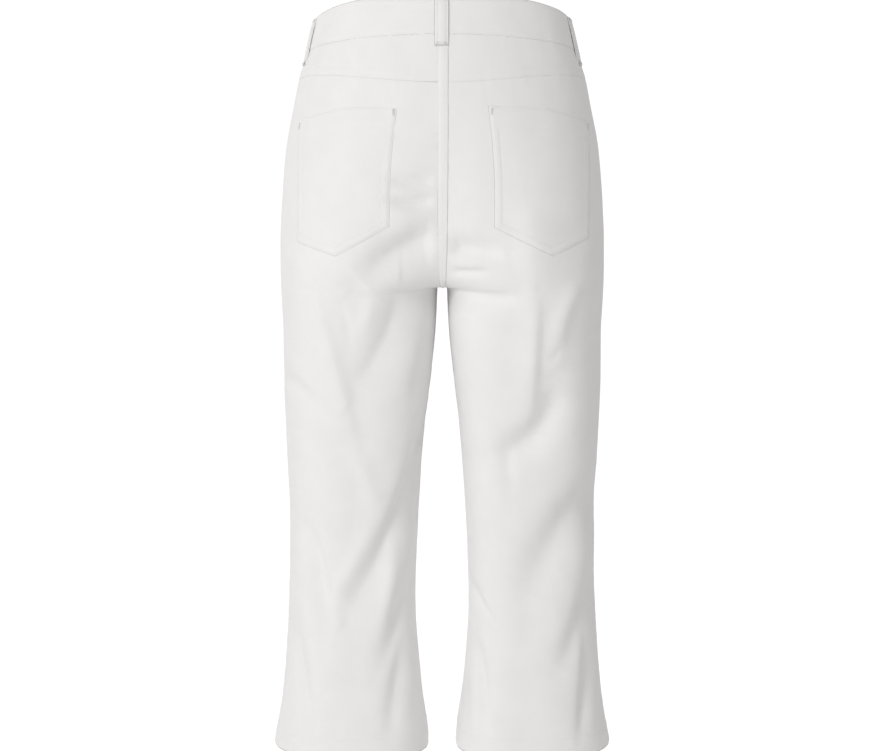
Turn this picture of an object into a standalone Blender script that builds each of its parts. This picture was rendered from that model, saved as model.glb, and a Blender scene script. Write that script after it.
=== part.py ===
"""Capri trousers in white cotton twill, cut like jeans and filled out as worn: hollow, open at waist and hems.

Metres, +Z up. The front faces -Y, the wearer's left is +X. The origin is the centre of the waistband's ring,
3 mm over the band's middle at the side seams. All cloth lies on one smooth surface, the skin: level runs down the
side seam, and around runs from 0 at the centre front to 1 at the centre back on each half. Below the crotch
each half is a closed ring, and both ends of around meet at the inseam.
"""

import bpy
import bmesh
import numpy as np
from mathutils import Matrix

MM = 0.001

# ---- driving sizes, in metres -------------------------------------------------------------------------------
WALL = 1.2 * MM
BAND_WALL = 2.0 * MM
LAYER_GAP = 0.35 * MM
POCKET_GAP = 0.5 * MM
SEAM_GAP = 0.3 * MM
BAND_TOP = 15 * MM
BAND_SEAM = -21 * MM
CROTCH = -258 * MM
HEM = -757 * MM
YOKE_SIDE = -46 * MM
YOKE_DIP = 10 * MM
HALF_GIRTH = 500 * MM
RISE_ROUNDING = 8 * MM
RISE_FADE = 40 * MM
RISE_STEP = 2 * MM
WAIST_FULLNESS = 0.03
LEG_FULLNESS = 0.065
INNER_FULLNESS = 2.0
INNER_START = CROTCH + 5 * MM
INNER_RUN = 40 * MM
SHARP = np.radians(50)

# How many cells the grids have, and how strongly their rows crowd at the crotch, near centre and inseam.
BACK_COLUMNS = 15
FRONT_COLUMNS = 11
SEAT_ROWS = 17
LEG_ROWS = 26
YOKE_ROWS = 3
BAND_ROWS = 2
SEAT_CROWDING = 0.7
LEG_CROWDING = 0.5

FELL_HALF = 6 * MM
FELL_WALL = 0.8 * MM
FLY_LAP = 4 * MM
FLY_END = -165 * MM
BAND_UNDERLAP = 38 * MM
UNDERLAP_COLUMN = 26 * MM
LAP_RISE = 22 * MM
LAP_START = 20 * MM

CENTRE_BACK = 90
LOOP_WIDTH = 13 * MM
LOOP_WALL = 1.2 * MM
BUTTON_DIAMETER = 17 * MM
BUTTON_CENTRE = 12 * MM
BUTTON_DEPTH = 2.6 * MM
BUTTON_DOME = 0.8 * MM
ZIP_WIDTH = 26 * MM
ZIP_WALL = 1.0 * MM
ZIP_TOP = 20 * MM
SLIDER_SIZE = (9 * MM, 2.6 * MM, 11 * MM)
SLIDER_DROP = 10 * MM
SLIDER_EDGE = 0.7 * MM
POCKET_SNAP = 0.01 * MM
POCKET_SHORT_EDGE = 0.3 * MM

# ---- the skin's sections, in mm -----------------------------------------------------------------------------
# One row for each level. outer and inner are the ring's reach from the centre plane (inner is negative where
# the plane cuts the ring), back and front its depths, middle the y of its widest point, and tilt the rise of
# the centre back over the side seam.
SECTION_COLUMNS = ("level", "outer", "inner", "back", "front", "middle", "tilt")
SECTIONS = (
    (20, 133.4, -133.4, 94, 87, 2, 33),
    (15, 134.6, -134.6, 95, 88, 2, 32),
    (-4, 139.2, -139.2, 98, 91, 2, 28),
    (-21, 143.4, -143.4, 101, 94, 3, 26),
    (-44, 150.5, -145.0, 108, 98, 4, 16.5),
    (-73, 156.5, -131.0, 114, 101, 5, 8),
    (-118, 164.8, -99.0, 121, 104, 6, 3),
    (-171, 169.2, -69.0, 125, 105, 7, 0),
    (-214, 171.0, -45.0, 123, 104, 8, 0),
    (-237, 171.0, -28.0, 120, 102, 8, 0),
    (-247, 170.8, -18.5, 118.3, 101.2, 8, 0),
    (-253, 170.67, -10.5, 117.1, 100.7, 8, 0),
    (-258, 170.55, 0.0, 116.1, 100.3, 7.9, 0),
    (-259, 170.53, 4.0, 115.9, 100.2, 7.87, 0),
    (-263, 170.4, 5.1, 115.1, 99.8, 7.7, 0),
    (-278, 169.8, 5.7, 112, 98, 7, 0),
    (-310, 168.7, 7.5, 106, 94, 6, 0),
    (-358, 168.6, 12.3, 97, 88, 4, 0),
    (-407, 167.3, 18.0, 88, 83, 2, 0),
    (-456, 165.5, 22.0, 80, 79, 0, 0),
    (-505, 163.7, 25.3, 74, 76, -1, 0),
    (-555, 164.0, 27.6, 71, 74, -2, 0),
    (-604, 165.5, 28.8, 71, 75, -2, 0),
    (-654, 168.2, 26.5, 73, 77, -2, 0),
    (-704, 172.7, 22.0, 76, 79, -2, 0),
    (-737, 177.9, 17.2, 79, 81, -1, 0),
    (-757, 181.3, 15.3, 80, 82, -1, 0),
    (-770, 183.4, 14.1, 81, 83, -1, 0),
)

# ---- the largest folds, in mm -------------------------------------------------------------------------------
# A row for each: half of the garment, face, start, bend and end as x and z on that half, half width, and depth
# (a ridge has a negative depth).
FOLD_COLUMNS = ("half", "face", "x0", "z0", "x1", "z1", "x2", "z2", "width", "depth")
FOLDS = (
    ("left", "back", -8, -207, 36, -213, 86, -249, 19, 11.5),
    ("left", "back", 42, -258, 53, -299, 88, -362, 20, 7.0),
    ("left", "back", 135, -250, 112, -331, 90, -426, 14, -3.0),
    ("left", "back", 2, -380, 38, -488, 99, -604, 16, 10.0),
    ("left", "back", 71, -503, 97, -556, 119, -589, 13, -3.0),
    ("left", "back", 26, -547, 41, -607, 66, -667, 13, 6.0),
    ("left", "back", 30, -600, 46, -674, 56, -740, 12, 4.5),
    ("left", "back", 150, -500, 130, -553, 122, -628, 12, 5.5),
    ("left", "back", 158, -598, 150, -668, 134, -742, 11, 3.5),
    ("right", "back", -8, -210, 28, -215, 66, -216, 12, 7.5),
    ("right", "back", 90, -160, 92, -215, 96, -292, 20, -4.0),
    ("right", "back", 96, -262, 95, -320, 92, -388, 12, -4.0),
    ("right", "back", 144, -250, 126, -278, 117, -330, 12, -3.5),
    ("right", "back", 116, -352, 102, -406, 48, -436, 15, 9.0),
    ("right", "back", 180, -468, 128, -514, 92, -592, 24, 11.0),
    ("right", "back", 176, -548, 153, -610, 124, -668, 14, 7.0),
    ("right", "back", 158, -625, 153, -685, 147, -739, 11, 5.0),
    ("right", "back", 26, -569, 40, -594, 59, -625, 11, 3.5),
    ("right", "back", 35, -630, 44, -678, 43, -735, 11, 4.0),
    ("left", "front", 14, -214, 52, -204, 104, -172, 12, 4.0),
    ("left", "front", 18, -262, 60, -264, 112, -238, 12, 4.0),
    ("left", "front", 128, -290, 98, -352, 90, -430, 16, 4.0),
    ("left", "front", 30, -452, 76, -476, 134, -462, 14, 4.5),
    ("left", "front", 48, -520, 70, -586, 112, -640, 14, 5.0),
    ("left", "front", 138, -590, 124, -660, 128, -735, 12, 4.0),
    ("right", "front", 12, -224, 60, -222, 110, -196, 12, 4.0),
    ("right", "front", 16, -252, 52, -276, 98, -274, 12, 4.0),
    ("right", "front", 120, -306, 104, -380, 108, -444, 16, 4.0),
    ("right", "front", 34, -474, 84, -500, 140, -486, 14, 4.5),
    ("right", "front", 140, -540, 106, -590, 92, -668, 14, 5.0),
    ("right", "front", 44, -620, 58, -680, 56, -738, 12, 4.0),
)
FOLD_STEPS = 8
FOLD_END = 0.04
FOLD_TAPER = 0.7
SIDE_BLEND = 0.2
RISE_CALM = 16 * MM
CALM_FADE = 20 * MM
SEAM_CALM = 14 * MM
SEAM_STIFFNESS = 0.8

# ---- the pockets' corners, in mm, as x and z on the back of each half ---------------------------------------
POCKET_CORNERS = {
    "left": {"inner_top": (46, -68), "inner_foot": (54, -189), "tip": (109, -220),
             "outer_foot": (149, -208), "outer_top": (150, -86)},
    "right": {"inner_top": (46.5, -67), "inner_foot": (53, -190), "tip": (113, -220),
              "outer_foot": (151, -204), "outer_top": (153, -87)},
}
POCKET_OUTLINE = ("inner_top", "inner_foot", "tip", "outer_foot", "outer_top")
PLACE_STEPS = 12

# ---- the belt loops -----------------------------------------------------------------------------------------
# The angle is from the side seam towards the back, in degrees. The profile has a row for each bend: the level,
# and how far the loop's inner face stands from the skin, in mm, at the sides and front and at the centre back.
LOOPS = (
    ("belt_loop_back", "left", CENTRE_BACK),
    ("belt_loop_side_left", "left", 14),
    ("belt_loop_side_right", "right", 14),
    ("belt_loop_front_left", "left", -48),
    ("belt_loop_front_right", "right", -48),
)
LOOP_PROFILE = (
    (-33.5, 0.4, 1.6), (-30.0, 0.4, 1.6), (-26.0, 1.4, 2.4), (-21.0, 3.2, 4.4), (-14.0, 4.4, 6.0),
    (-6.0, 4.7, 6.4), (2.0, 4.4, 5.9), (8.0, 3.2, 4.2), (12.0, 1.4, 1.8), (14.6, 0.6, 0.6),
)

SIDES = {"left": 1, "right": -1}

WHITE = (0.86, 0.86, 0.855, 1)
SHADE_WHITE = (0.82, 0.82, 0.815, 1)
METAL = (0.62, 0.61, 0.58, 1)
TAPE = (0.80, 0.80, 0.79, 1)


# ---- the skin -----------------------------------------------------------------------------------------------
def hermite_slopes(xs, ys):
    """Slopes that keep a cubic curve through the points free of overshoot."""
    steps = np.diff(xs)
    rises = np.diff(ys) / steps
    slopes = np.empty(len(xs))
    slopes[0] = rises[0]
    slopes[-1] = rises[-1]
    for k in range(1, len(xs) - 1):
        before, after = rises[k - 1], rises[k]
        if before * after <= 0:
            slopes[k] = 0
            continue
        first = 2 * steps[k] + steps[k - 1]
        second = steps[k] + 2 * steps[k - 1]
        slopes[k] = (first + second) / (first / before + second / after)
    return slopes


def section_curves():
    """For each column of SECTIONS, its points and slopes against level, rising, in metres."""
    table = np.array(sorted(SECTIONS), float) * MM
    levels = table[:, 0]
    return levels, {
        name: (table[:, k], hermite_slopes(levels, table[:, k]))
        for k, name in enumerate(SECTION_COLUMNS)
        if name != "level"
    }


def smooth(t):
    t = np.clip(t, 0, 1)
    return t * t * (3 - 2 * t)


LEVELS, CURVES = section_curves()


def column(name, level):
    ys, slopes = CURVES[name]
    k = np.clip(np.searchsorted(LEVELS, level) - 1, 0, len(LEVELS) - 2)
    step = LEVELS[k + 1] - LEVELS[k]
    t = (level - LEVELS[k]) / step
    return (
        ys[k] * (1 + 2 * t) * (1 - t) ** 2
        + ys[k + 1] * t ** 2 * (3 - 2 * t)
        + slopes[k] * step * t * (1 - t) ** 2
        - slopes[k + 1] * step * t ** 2 * (1 - t)
    )


def ring(level):
    """The ring's centre, radius and reach: the angle at which it meets the centre plane, or pi on a leg."""
    outer, inner = column("outer", level), column("inner", level)
    centre = (outer + inner) / 2
    radius = (outer - inner) / 2
    return centre, radius, np.arccos(np.clip(-centre / radius, -1, 1))


def half_depth(face, level):
    """The ring's depth from its middle to the back (face 1) or the front (face -1)."""
    middle = column("middle", level)
    return np.where(face > 0, column("back", level) - middle, column("front", level) + middle)


def rise_slope(face, level):
    """How steeply the halves would meet at the centre seam, and the seam's outward direction as y and z."""
    level = np.maximum(level, CROTCH + RISE_STEP)
    ends = []
    for near in (level - RISE_STEP / 2, level + RISE_STEP / 2):
        ends.append(column("middle", near) + face * half_depth(face, near) * np.sin(ring(near)[2]))
    run = (ends[1] - ends[0]) * face
    length = np.hypot(run, RISE_STEP)
    _, radius, reach = ring(level)
    slope = -half_depth(face, level) * np.cos(reach) * RISE_STEP / (radius * np.sin(reach) * length)
    return slope, face * RISE_STEP / length, -run / length


def fullness(angle, level):
    """How many times an ellipse's reach the ring has: once at the side, the faces' middles and the seam."""
    reach = ring(level)[2]
    size = np.abs(angle)
    outer = np.sin(2 * np.minimum(size, np.pi / 2)) ** 2
    inner_span = np.maximum(reach / (np.pi / 2) - 1, 1e-3)
    inner = np.sin(np.pi * np.clip((size / (np.pi / 2) - 1) / inner_span, 0, 1)) ** 2
    share = WAIST_FULLNESS + (LEG_FULLNESS - WAIST_FULLNESS) * smooth((BAND_SEAM - level) / (BAND_SEAM - CROTCH))
    return 1 + share * (outer + INNER_FULLNESS * inner_span * inner * smooth((INNER_START - level) / INNER_RUN))


def section(around, level):
    """Points of the undisturbed skin on the +X half, and the sine of their angle (positive on the back)."""
    centre, radius, reach = ring(level)
    angle = (2 * around - 1) * reach
    full = fullness(angle, level)
    sine = np.sin(angle)
    face = np.where(sine > 0, 1, -1)
    x = centre + radius * full * np.cos(angle)
    y = column("middle", level) + half_depth(face, level) * full * sine
    z = level + column("tilt", level) * sine
    slope, out_y, out_z = rise_slope(face, level)
    rounding = slope * (np.hypot(x, RISE_ROUNDING) - np.abs(x)) * smooth((level - CROTCH) / RISE_FADE + 1)
    return np.stack([x, y + out_y * rounding, z + out_z * rounding], axis=-1), sine


def outward(around, level):
    """Unit normals of the undisturbed skin on the +X half."""
    nudge, drop = 1e-4, 0.1 * MM
    along = section(around + nudge, level)[0] - section(around - nudge, level)[0]
    up = section(around, level + drop)[0] - section(around, level - drop)[0]
    normal = np.cross(along, up)
    return normal / np.linalg.norm(normal, axis=-1, keepdims=True)


def fold_line(fold):
    """The points of a fold's centre line: a quadratic curve through start, bend and end, in metres."""
    t = np.linspace(0, 1, FOLD_STEPS + 1)[:, None]
    start = np.array([fold["x0"], fold["z0"]], float)
    bend = np.array([fold["x1"], fold["z1"]], float)
    end = np.array([fold["x2"], fold["z2"]], float)
    pull = 2 * bend - (start + end) / 2
    return (start * (1 - t) ** 2 + 2 * pull * t * (1 - t) + end * t ** 2) * MM


def fold_depth(fold, x, z):
    """How far one fold sinks the skin at (x, z): deepest at its middle, soft across, tapered to its ends."""
    line = fold_line(fold)
    nearest = np.full(x.shape, np.inf)
    along = np.zeros(x.shape)
    for k in range(FOLD_STEPS):
        dx, dz = line[k + 1] - line[k]
        t = np.clip(((x - line[k, 0]) * dx + (z - line[k, 1]) * dz) / (dx * dx + dz * dz), 0, 1)
        away = np.hypot(x - line[k, 0] - t * dx, z - line[k, 1] - t * dz)
        closer = away < nearest
        nearest = np.where(closer, away, nearest)
        along = np.where(closer, (k + t) / FOLD_STEPS, along)
    taper = np.sin(np.pi * np.clip(along, FOLD_END, 1 - FOLD_END)) ** FOLD_TAPER
    return fold["depth"] * MM * taper * np.exp(-((nearest / (fold["width"] * MM)) ** 2))


def relief(half, points, sine, around, level):
    """How far all folds of one half sink the skin: little at stiff seams, and nothing at the centre seams."""
    x, z = points[..., 0], points[..., 2]
    on_back = smooth(0.5 + sine / (2 * SIDE_BLEND))
    depth = np.zeros(x.shape)
    for row in FOLDS:
        fold = dict(zip(FOLD_COLUMNS, row))
        if fold["half"] == half:
            share = on_back if fold["face"] == "back" else 1 - on_back
            depth += share * fold_depth(fold, x, z)
    near_seam = 1 - smooth(np.abs(x) / RISE_CALM)
    above_crotch = smooth((level - CROTCH) / CALM_FADE + 1)
    to_seam = (0.25 - np.abs(0.25 - np.abs(around - 0.5))) * HALF_GIRTH
    stiff = SEAM_STIFFNESS * np.exp(-((to_seam / SEAM_CALM) ** 2))
    return depth * (1 - near_seam * above_crotch) * (1 - stiff)


def skin(half, around, level, out=0.0):
    """Points on one half, out metres outside the cloth's outer face."""
    around, level = np.broadcast_arrays(np.asarray(around, float), np.asarray(level, float))
    points, sine = section(around, level)
    normal = outward(around, level)
    lift = out - relief(half, points, sine, around, level)
    points = points + normal * np.asarray(lift)[..., None]
    points[..., 0] *= SIDES[half]
    return points


def around_at(angle_degrees, level):
    """The around that lies at an angle from the side seam, positive towards the back."""
    return 0.5 + np.radians(angle_degrees) / (2 * ring(level)[2])


def around_of_x(x, level, face):
    """The around of the point at distance x from the centre plane, on the back or the front."""
    centre, radius, reach = ring(level)
    angle = np.pi / 2
    for _ in range(PLACE_STEPS):
        angle = np.arccos(np.clip((x - centre) / (radius * fullness(angle, level)), -1, 1))
    return 0.5 + np.where(face == "back", 1, -1) * angle / (2 * reach)


# ---- grids --------------------------------------------------------------------------------------------------
INSET = SEAM_GAP / 2 / HALF_GIRTH


def from_seam(count, fine_lines):
    """Shares of HALF_GIRTH from a centre seam to the side seam: even, but for lines near the centre seam."""
    near = np.array(fine_lines) / HALF_GIRTH
    return np.concatenate([[INSET], near, np.linspace(near[-1], 0.5 - INSET, count + 1)[1:]])


BACK_AROUND = 1 - from_seam(BACK_COLUMNS, [FELL_HALF])[::-1]
FRONT_AROUND = from_seam(FRONT_COLUMNS, [FLY_LAP, ZIP_WIDTH / 2])


def yoke_seam(around):
    """The level of the yoke's lower seam: it dips towards the centre back."""
    return YOKE_SIDE - YOKE_DIP * np.sin(np.pi * (around - 0.5)) ** 4


def panel_levels(around, top):
    """Levels from a top seam to the hem. Near the centre seams and the inseam the rows crowd at the crotch."""
    edge = np.abs(2 * around - 1) ** 3
    above = np.linspace(1, 0, SEAT_ROWS + 1)[:, None]
    below = np.linspace(0, 1, LEG_ROWS + 1)[1:, None]
    seat = CROTCH + (top - CROTCH) * above ** (1 + SEAT_CROWDING * edge)
    leg = CROTCH + (HEM - CROTCH) * below ** (1 + LEG_CROWDING * edge)
    return np.vstack([seat, leg])


FRONT_LEVELS = panel_levels(FRONT_AROUND, BAND_SEAM - SEAM_GAP / 2)


def clear_of_centre(points, side):
    """Keeps each half SEAM_GAP / 2 off the centre plane."""
    points[..., 0] = side * np.maximum(points[..., 0] * side, SEAM_GAP / 2)
    return points


# ---- Blender objects ----------------------------------------------------------------------------------------
def clear_scene():
    for obj in list(bpy.data.objects):
        bpy.data.objects.remove(obj, do_unlink=True)


def material(name, colour, roughness, metallic=0.0):
    made = bpy.data.materials.new(name)
    made.use_nodes = True
    shader = made.node_tree.nodes["Principled BSDF"]
    shader.inputs["Base Color"].default_value = colour
    shader.inputs["Roughness"].default_value = roughness
    shader.inputs["Metallic"].default_value = metallic
    return made


def collection(name):
    made = bpy.data.collections.new(name)
    bpy.context.scene.collection.children.link(made)
    return made


def add_object(name, mesh, look):
    mesh.materials.append(look)
    obj = bpy.data.objects.new(name, mesh)
    GARMENT.objects.link(obj)
    return obj


def grid_mesh(name, points, flipped):
    """A sheet through a grid of points, rows by columns. Layers split their cells along the same diagonals."""
    rows, columns = points.shape[:2]
    grid = bmesh.new()
    bmesh.ops.create_grid(grid, x_segments=columns - 1, y_segments=rows - 1, size=0.5)
    for vertex in grid.verts:
        i = round((0.5 - vertex.co.y) * (rows - 1))
        j = round((vertex.co.x + 0.5) * (columns - 1))
        vertex.co = points[i, j]
    if flipped:
        bmesh.ops.reverse_faces(grid, faces=grid.faces)
    bmesh.ops.triangulate(grid, faces=grid.faces, quad_method="SHORT_EDGE")
    mesh = bpy.data.meshes.new(name)
    grid.to_mesh(mesh)
    grid.free()
    mesh.shade_smooth()
    return mesh


def thicken(obj, wall):
    """Gives the cloth its wall, on the inner side of its outer face."""
    solid = obj.modifiers.new("cloth wall", "SOLIDIFY")
    solid.thickness = wall
    solid.offset = -1
    solid.use_even_offset = False
    return obj


def cloth(name, lay, look, wall=WALL, flipped=False):
    """A piece of cloth between two grids that lay(out) puts on the skin, so that neighbours stay parallel."""
    sheet = bmesh.new()
    sheet.from_mesh(grid_mesh(name, lay(0.0), flipped))
    sheet.from_mesh(grid_mesh(name, lay(-wall), not flipped))
    rims = [edge for edge in sheet.edges if edge.is_boundary]
    bmesh.ops.bridge_loops(sheet, edges=rims)
    mesh = bpy.data.meshes.new(name)
    sheet.to_mesh(mesh)
    sheet.free()
    mesh.shade_smooth()
    mesh.set_sharp_from_angle(angle=SHARP)
    return add_object(name, mesh, look)


# ---- the panels ---------------------------------------------------------------------------------------------
def back_points(half, out=0.0):
    around = BACK_AROUND
    levels = panel_levels(around, yoke_seam(around) - SEAM_GAP / 2)
    return clear_of_centre(skin(half, around, levels, out), SIDES[half])


def yoke_points(half, out=0.0):
    around = BACK_AROUND
    levels = np.linspace(BAND_SEAM - SEAM_GAP / 2, yoke_seam(around) + SEAM_GAP / 2, YOKE_ROWS + 1)
    return clear_of_centre(skin(half, around, levels, out), SIDES[half])


def front_points(half, out=0.0):
    return clear_of_centre(skin(half, FRONT_AROUND, FRONT_LEVELS, out), SIDES[half])


def lapped_front(out):
    """The left front, whose fly edge laps over the right front down to the fly's end."""
    points = front_points("left", out)
    around, levels = FRONT_AROUND, FRONT_LEVELS
    from_centre = around * HALF_GIRTH
    rise = smooth((levels - FLY_END) / LAP_START) * (1 - smooth((from_centre - FLY_LAP) / LAP_RISE))
    lifted = skin("left", around, levels, out + rise * (WALL + LAYER_GAP))
    lap = skin("right", around[1], levels[:, 0], out + WALL + LAYER_GAP)
    share = smooth((levels[:, 0] - FLY_END - LAP_START) / LAP_START)[:, None]
    points = np.where(rise[..., None] > 0, clear_of_centre(lifted, 1), points)
    edge = points[:, 0]
    points[:, 0] = edge + (lap - edge) * share
    return points


def waistband_points(out):
    """One strip from under the left end, round the back, to the left end that laps over at the front."""
    levels = np.linspace(BAND_TOP, BAND_SEAM + SEAM_GAP / 2, BAND_ROWS + 1)
    under = BAND_UNDERLAP / HALF_GIRTH
    front = np.unique(np.concatenate([FRONT_AROUND, [UNDERLAP_COLUMN / HALF_GIRTH, under]]))
    whole = np.concatenate([front, BACK_AROUND[1:]])
    rise = BAND_WALL + LAYER_GAP
    columns = []
    for around in front[front <= under][::-1]:
        columns.append(skin("left", around, levels, out))
    for around in whole:
        columns.append(skin("right", around, levels, out))
    for around in whole[:-1][::-1]:
        share = 1 - smooth((around - under) * HALF_GIRTH / LAP_RISE)
        columns.append(skin("left", around, levels, out + share * rise))
    columns.append(skin("right", front[1], levels, out + rise))
    return np.stack(columns, axis=1)


def fell_points(out):
    """The felled strip over the centre back seam: the yokes' and backs' own edge points, moved out."""
    halves = {}
    for half in SIDES:
        yoke = yoke_points(half, out + FELL_WALL + LAYER_GAP)[:, -2:]
        back = back_points(half, out + FELL_WALL + LAYER_GAP)[:, -2:]
        halves[half] = np.vstack([yoke, back[1 : SEAT_ROWS - 1]])
    middle = (halves["left"][:, 1] + halves["right"][:, 1]) / 2
    return np.stack([halves["left"][:, 0], middle, halves["right"][:, 0]], axis=1)


# ---- pockets, loops, fly ------------------------------------------------------------------------------------
def back_place(half, x, z):
    """The point on the back of one half at x and z, in mm, and the outward normal there."""
    level = z * MM
    for _ in range(PLACE_STEPS):
        around = around_of_x(x * MM, level, "back")
        sine = section(around, level)[1]
        level = z * MM - column("tilt", level) * sine
    return skin(half, around, level), outward(around, level) * (SIDES[half], 1, 1)


def pocket(half, look):
    """A patch pocket: the back panel's own points moved out, cut to the five-sided outline."""
    name = "back_pocket_" + half
    mesh = grid_mesh(name, back_points(half, WALL + POCKET_GAP), half == "right")
    corners = [back_place(half, *POCKET_CORNERS[half][corner]) for corner in POCKET_OUTLINE]
    centre = sum(point for point, _ in corners) / len(corners)
    sheet = bmesh.new()
    sheet.from_mesh(mesh)
    for k, (start, normal) in enumerate(corners):
        end, end_normal = corners[(k + 1) % len(corners)]
        plane = np.cross(end - start, normal + end_normal)
        plane *= np.sign(np.dot(plane, start - centre))
        bmesh.ops.bisect_plane(
            sheet, geom=sheet.verts[:] + sheet.edges[:] + sheet.faces[:],
            dist=POCKET_SNAP, plane_co=start, plane_no=plane, clear_outer=True,
        )
    far_side = [face for face in sheet.faces if face.calc_center_median().y < 0]
    bmesh.ops.delete(sheet, geom=far_side, context="FACES")
    bmesh.ops.dissolve_degenerate(sheet, dist=POCKET_SHORT_EDGE, edges=sheet.edges)
    sheet.to_mesh(mesh)
    sheet.free()
    return thicken(add_object(name, mesh, look), WALL)


def belt_loop(name, half, angle, look):
    """A loop of folded strip, tacked below the band and at its top edge, standing off between."""
    levels, gaps, back_gaps = np.array(LOOP_PROFILE)[::-1].T * MM
    if angle == CENTRE_BACK:
        levels, gaps = levels[:-1], back_gaps[:-1]
        around = [
            ("left", around_of_x(LOOP_WIDTH / 2, levels, "back")),
            ("left", around_of_x(0.0, levels, "back")),
            ("right", around_of_x(LOOP_WIDTH / 2, levels, "back")),
        ]
    else:
        centre = around_at(angle, levels)
        turn = LOOP_WIDTH / 2 / HALF_GIRTH
        around = [(half, centre - turn), (half, centre), (half, centre + turn)]
    points = np.stack([skin(h, a, levels, gaps + LOOP_WALL) for h, a in around], axis=1)
    mesh = grid_mesh(name, points, half == "right")
    return thicken(add_object(name, mesh, look), LOOP_WALL)


def front_frame(x, level, out):
    """A point near the centre front and the directions of its surface: across, outwards and up."""
    around = around_of_x(abs(x), level, "front")
    half = "left" if x >= 0 else "right"
    point = skin(half, around, level, out)
    normal = outward(around, level) * (SIDES[half], 1, 1)
    up = np.array([0.0, 0.0, 1.0]) - normal * normal[2]
    up /= np.linalg.norm(up)
    return point, np.cross(up, normal), normal, up


def place(obj, point, across, normal, up):
    """Turns an object so that its x runs across, its y against the outward normal and its z up."""
    turn = np.eye(4)
    turn[:3, 0], turn[:3, 1], turn[:3, 2], turn[:3, 3] = across, -normal, up, point
    obj.matrix_world = Matrix(turn.tolist())


def zip_points(out):
    """The closed zip's tape behind the fly, below its slider."""
    behind = (FRONT_LEVELS[:, 0] < BAND_SEAM - ZIP_TOP) & (FRONT_LEVELS[:, 0] > FLY_END)
    levels, around = FRONT_LEVELS[behind, :3], FRONT_AROUND[:3]
    left, right = (skin(half, around, levels, out - WALL - LAYER_GAP) for half in SIDES)
    return np.concatenate([left[:, :0:-1], (left[:, :1] + right[:, :1]) / 2, right[:, 1:]], axis=1)


def zip_slider(look):
    """The slider and its hanging tab in one bevelled block, parked at the top of the tape."""
    behind = -WALL - 2 * LAYER_GAP - SLIDER_SIZE[1] / 2
    point, across, normal, up = front_frame(0.0, BAND_SEAM - SLIDER_DROP, behind)
    block = bmesh.new()
    bmesh.ops.create_cube(block, size=1)
    bmesh.ops.scale(block, vec=SLIDER_SIZE, verts=block.verts)
    mesh = bpy.data.meshes.new("zip_slider")
    block.to_mesh(mesh)
    block.free()
    obj = add_object("zip_slider", mesh, look)
    place(obj, point, across, normal, up)
    soften = obj.modifiers.new("rounded edges", "BEVEL")
    soften.width = SLIDER_EDGE
    soften.segments = 1


def waist_button(look):
    """A shank button: a domed disc on the left end of the band."""
    stand = BAND_WALL + 3 * LAYER_GAP + BUTTON_DEPTH / 2
    point, across, normal, up = front_frame(BUTTON_CENTRE, (BAND_TOP + BAND_SEAM) / 2, stand)
    radius = BUTTON_DIAMETER / 2
    disc = bmesh.new()
    bmesh.ops.create_cone(
        disc, cap_ends=True, segments=24, radius1=radius, radius2=radius - BUTTON_DOME,
        depth=BUTTON_DEPTH, matrix=Matrix.Rotation(np.pi / 2, 4, "X"),
    )
    mesh = bpy.data.meshes.new("waist_button")
    disc.to_mesh(mesh)
    disc.free()
    mesh.shade_smooth()
    mesh.set_sharp_from_angle(angle=SHARP)
    place(add_object("waist_button", mesh, look), point, across, normal, up)


# ---- the garment --------------------------------------------------------------------------------------------
def build():
    twill = material("white twill", WHITE, 0.85)
    doubled = material("doubled twill", SHADE_WHITE, 0.85)
    tape = material("zip tape", TAPE, 0.8)
    metal = material("brushed metal", METAL, 0.35, 1.0)
    for half in SIDES:
        right = half == "right"
        cloth("yoke_" + half, lambda out: yoke_points(half, out), twill, flipped=right)
        cloth("back_" + half, lambda out: back_points(half, out), twill, flipped=right)
        pocket(half, doubled)
    cloth("front_left", lapped_front, twill)
    cloth("front_right", lambda out: front_points("right", out), twill, flipped=True)
    cloth("waistband", waistband_points, doubled, BAND_WALL, flipped=True)
    cloth("seat_fell", fell_points, doubled, FELL_WALL)
    cloth("zip_tape", zip_points, tape, ZIP_WALL, flipped=True)
    for name, half, angle in LOOPS:
        belt_loop(name, half, angle, doubled)
    zip_slider(metal)
    waist_button(metal)


clear_scene()
GARMENT = collection("capri_pants")
build()
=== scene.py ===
"""Looks of the capri pants: creased white twill with felled seams, topstitching, loops and hems, on the frame.

Metres, +Z up. The front faces -Y and the wearer's left is +X. All cloth lies on one skin: level runs down the side
seam, and around runs from 0 at the centre front to 1 at the centre back on each half. Below the crotch each half is
a closed ring, whose ends of around meet at the inseam. A lift is a height above the skin's outer face.
"""

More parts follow.
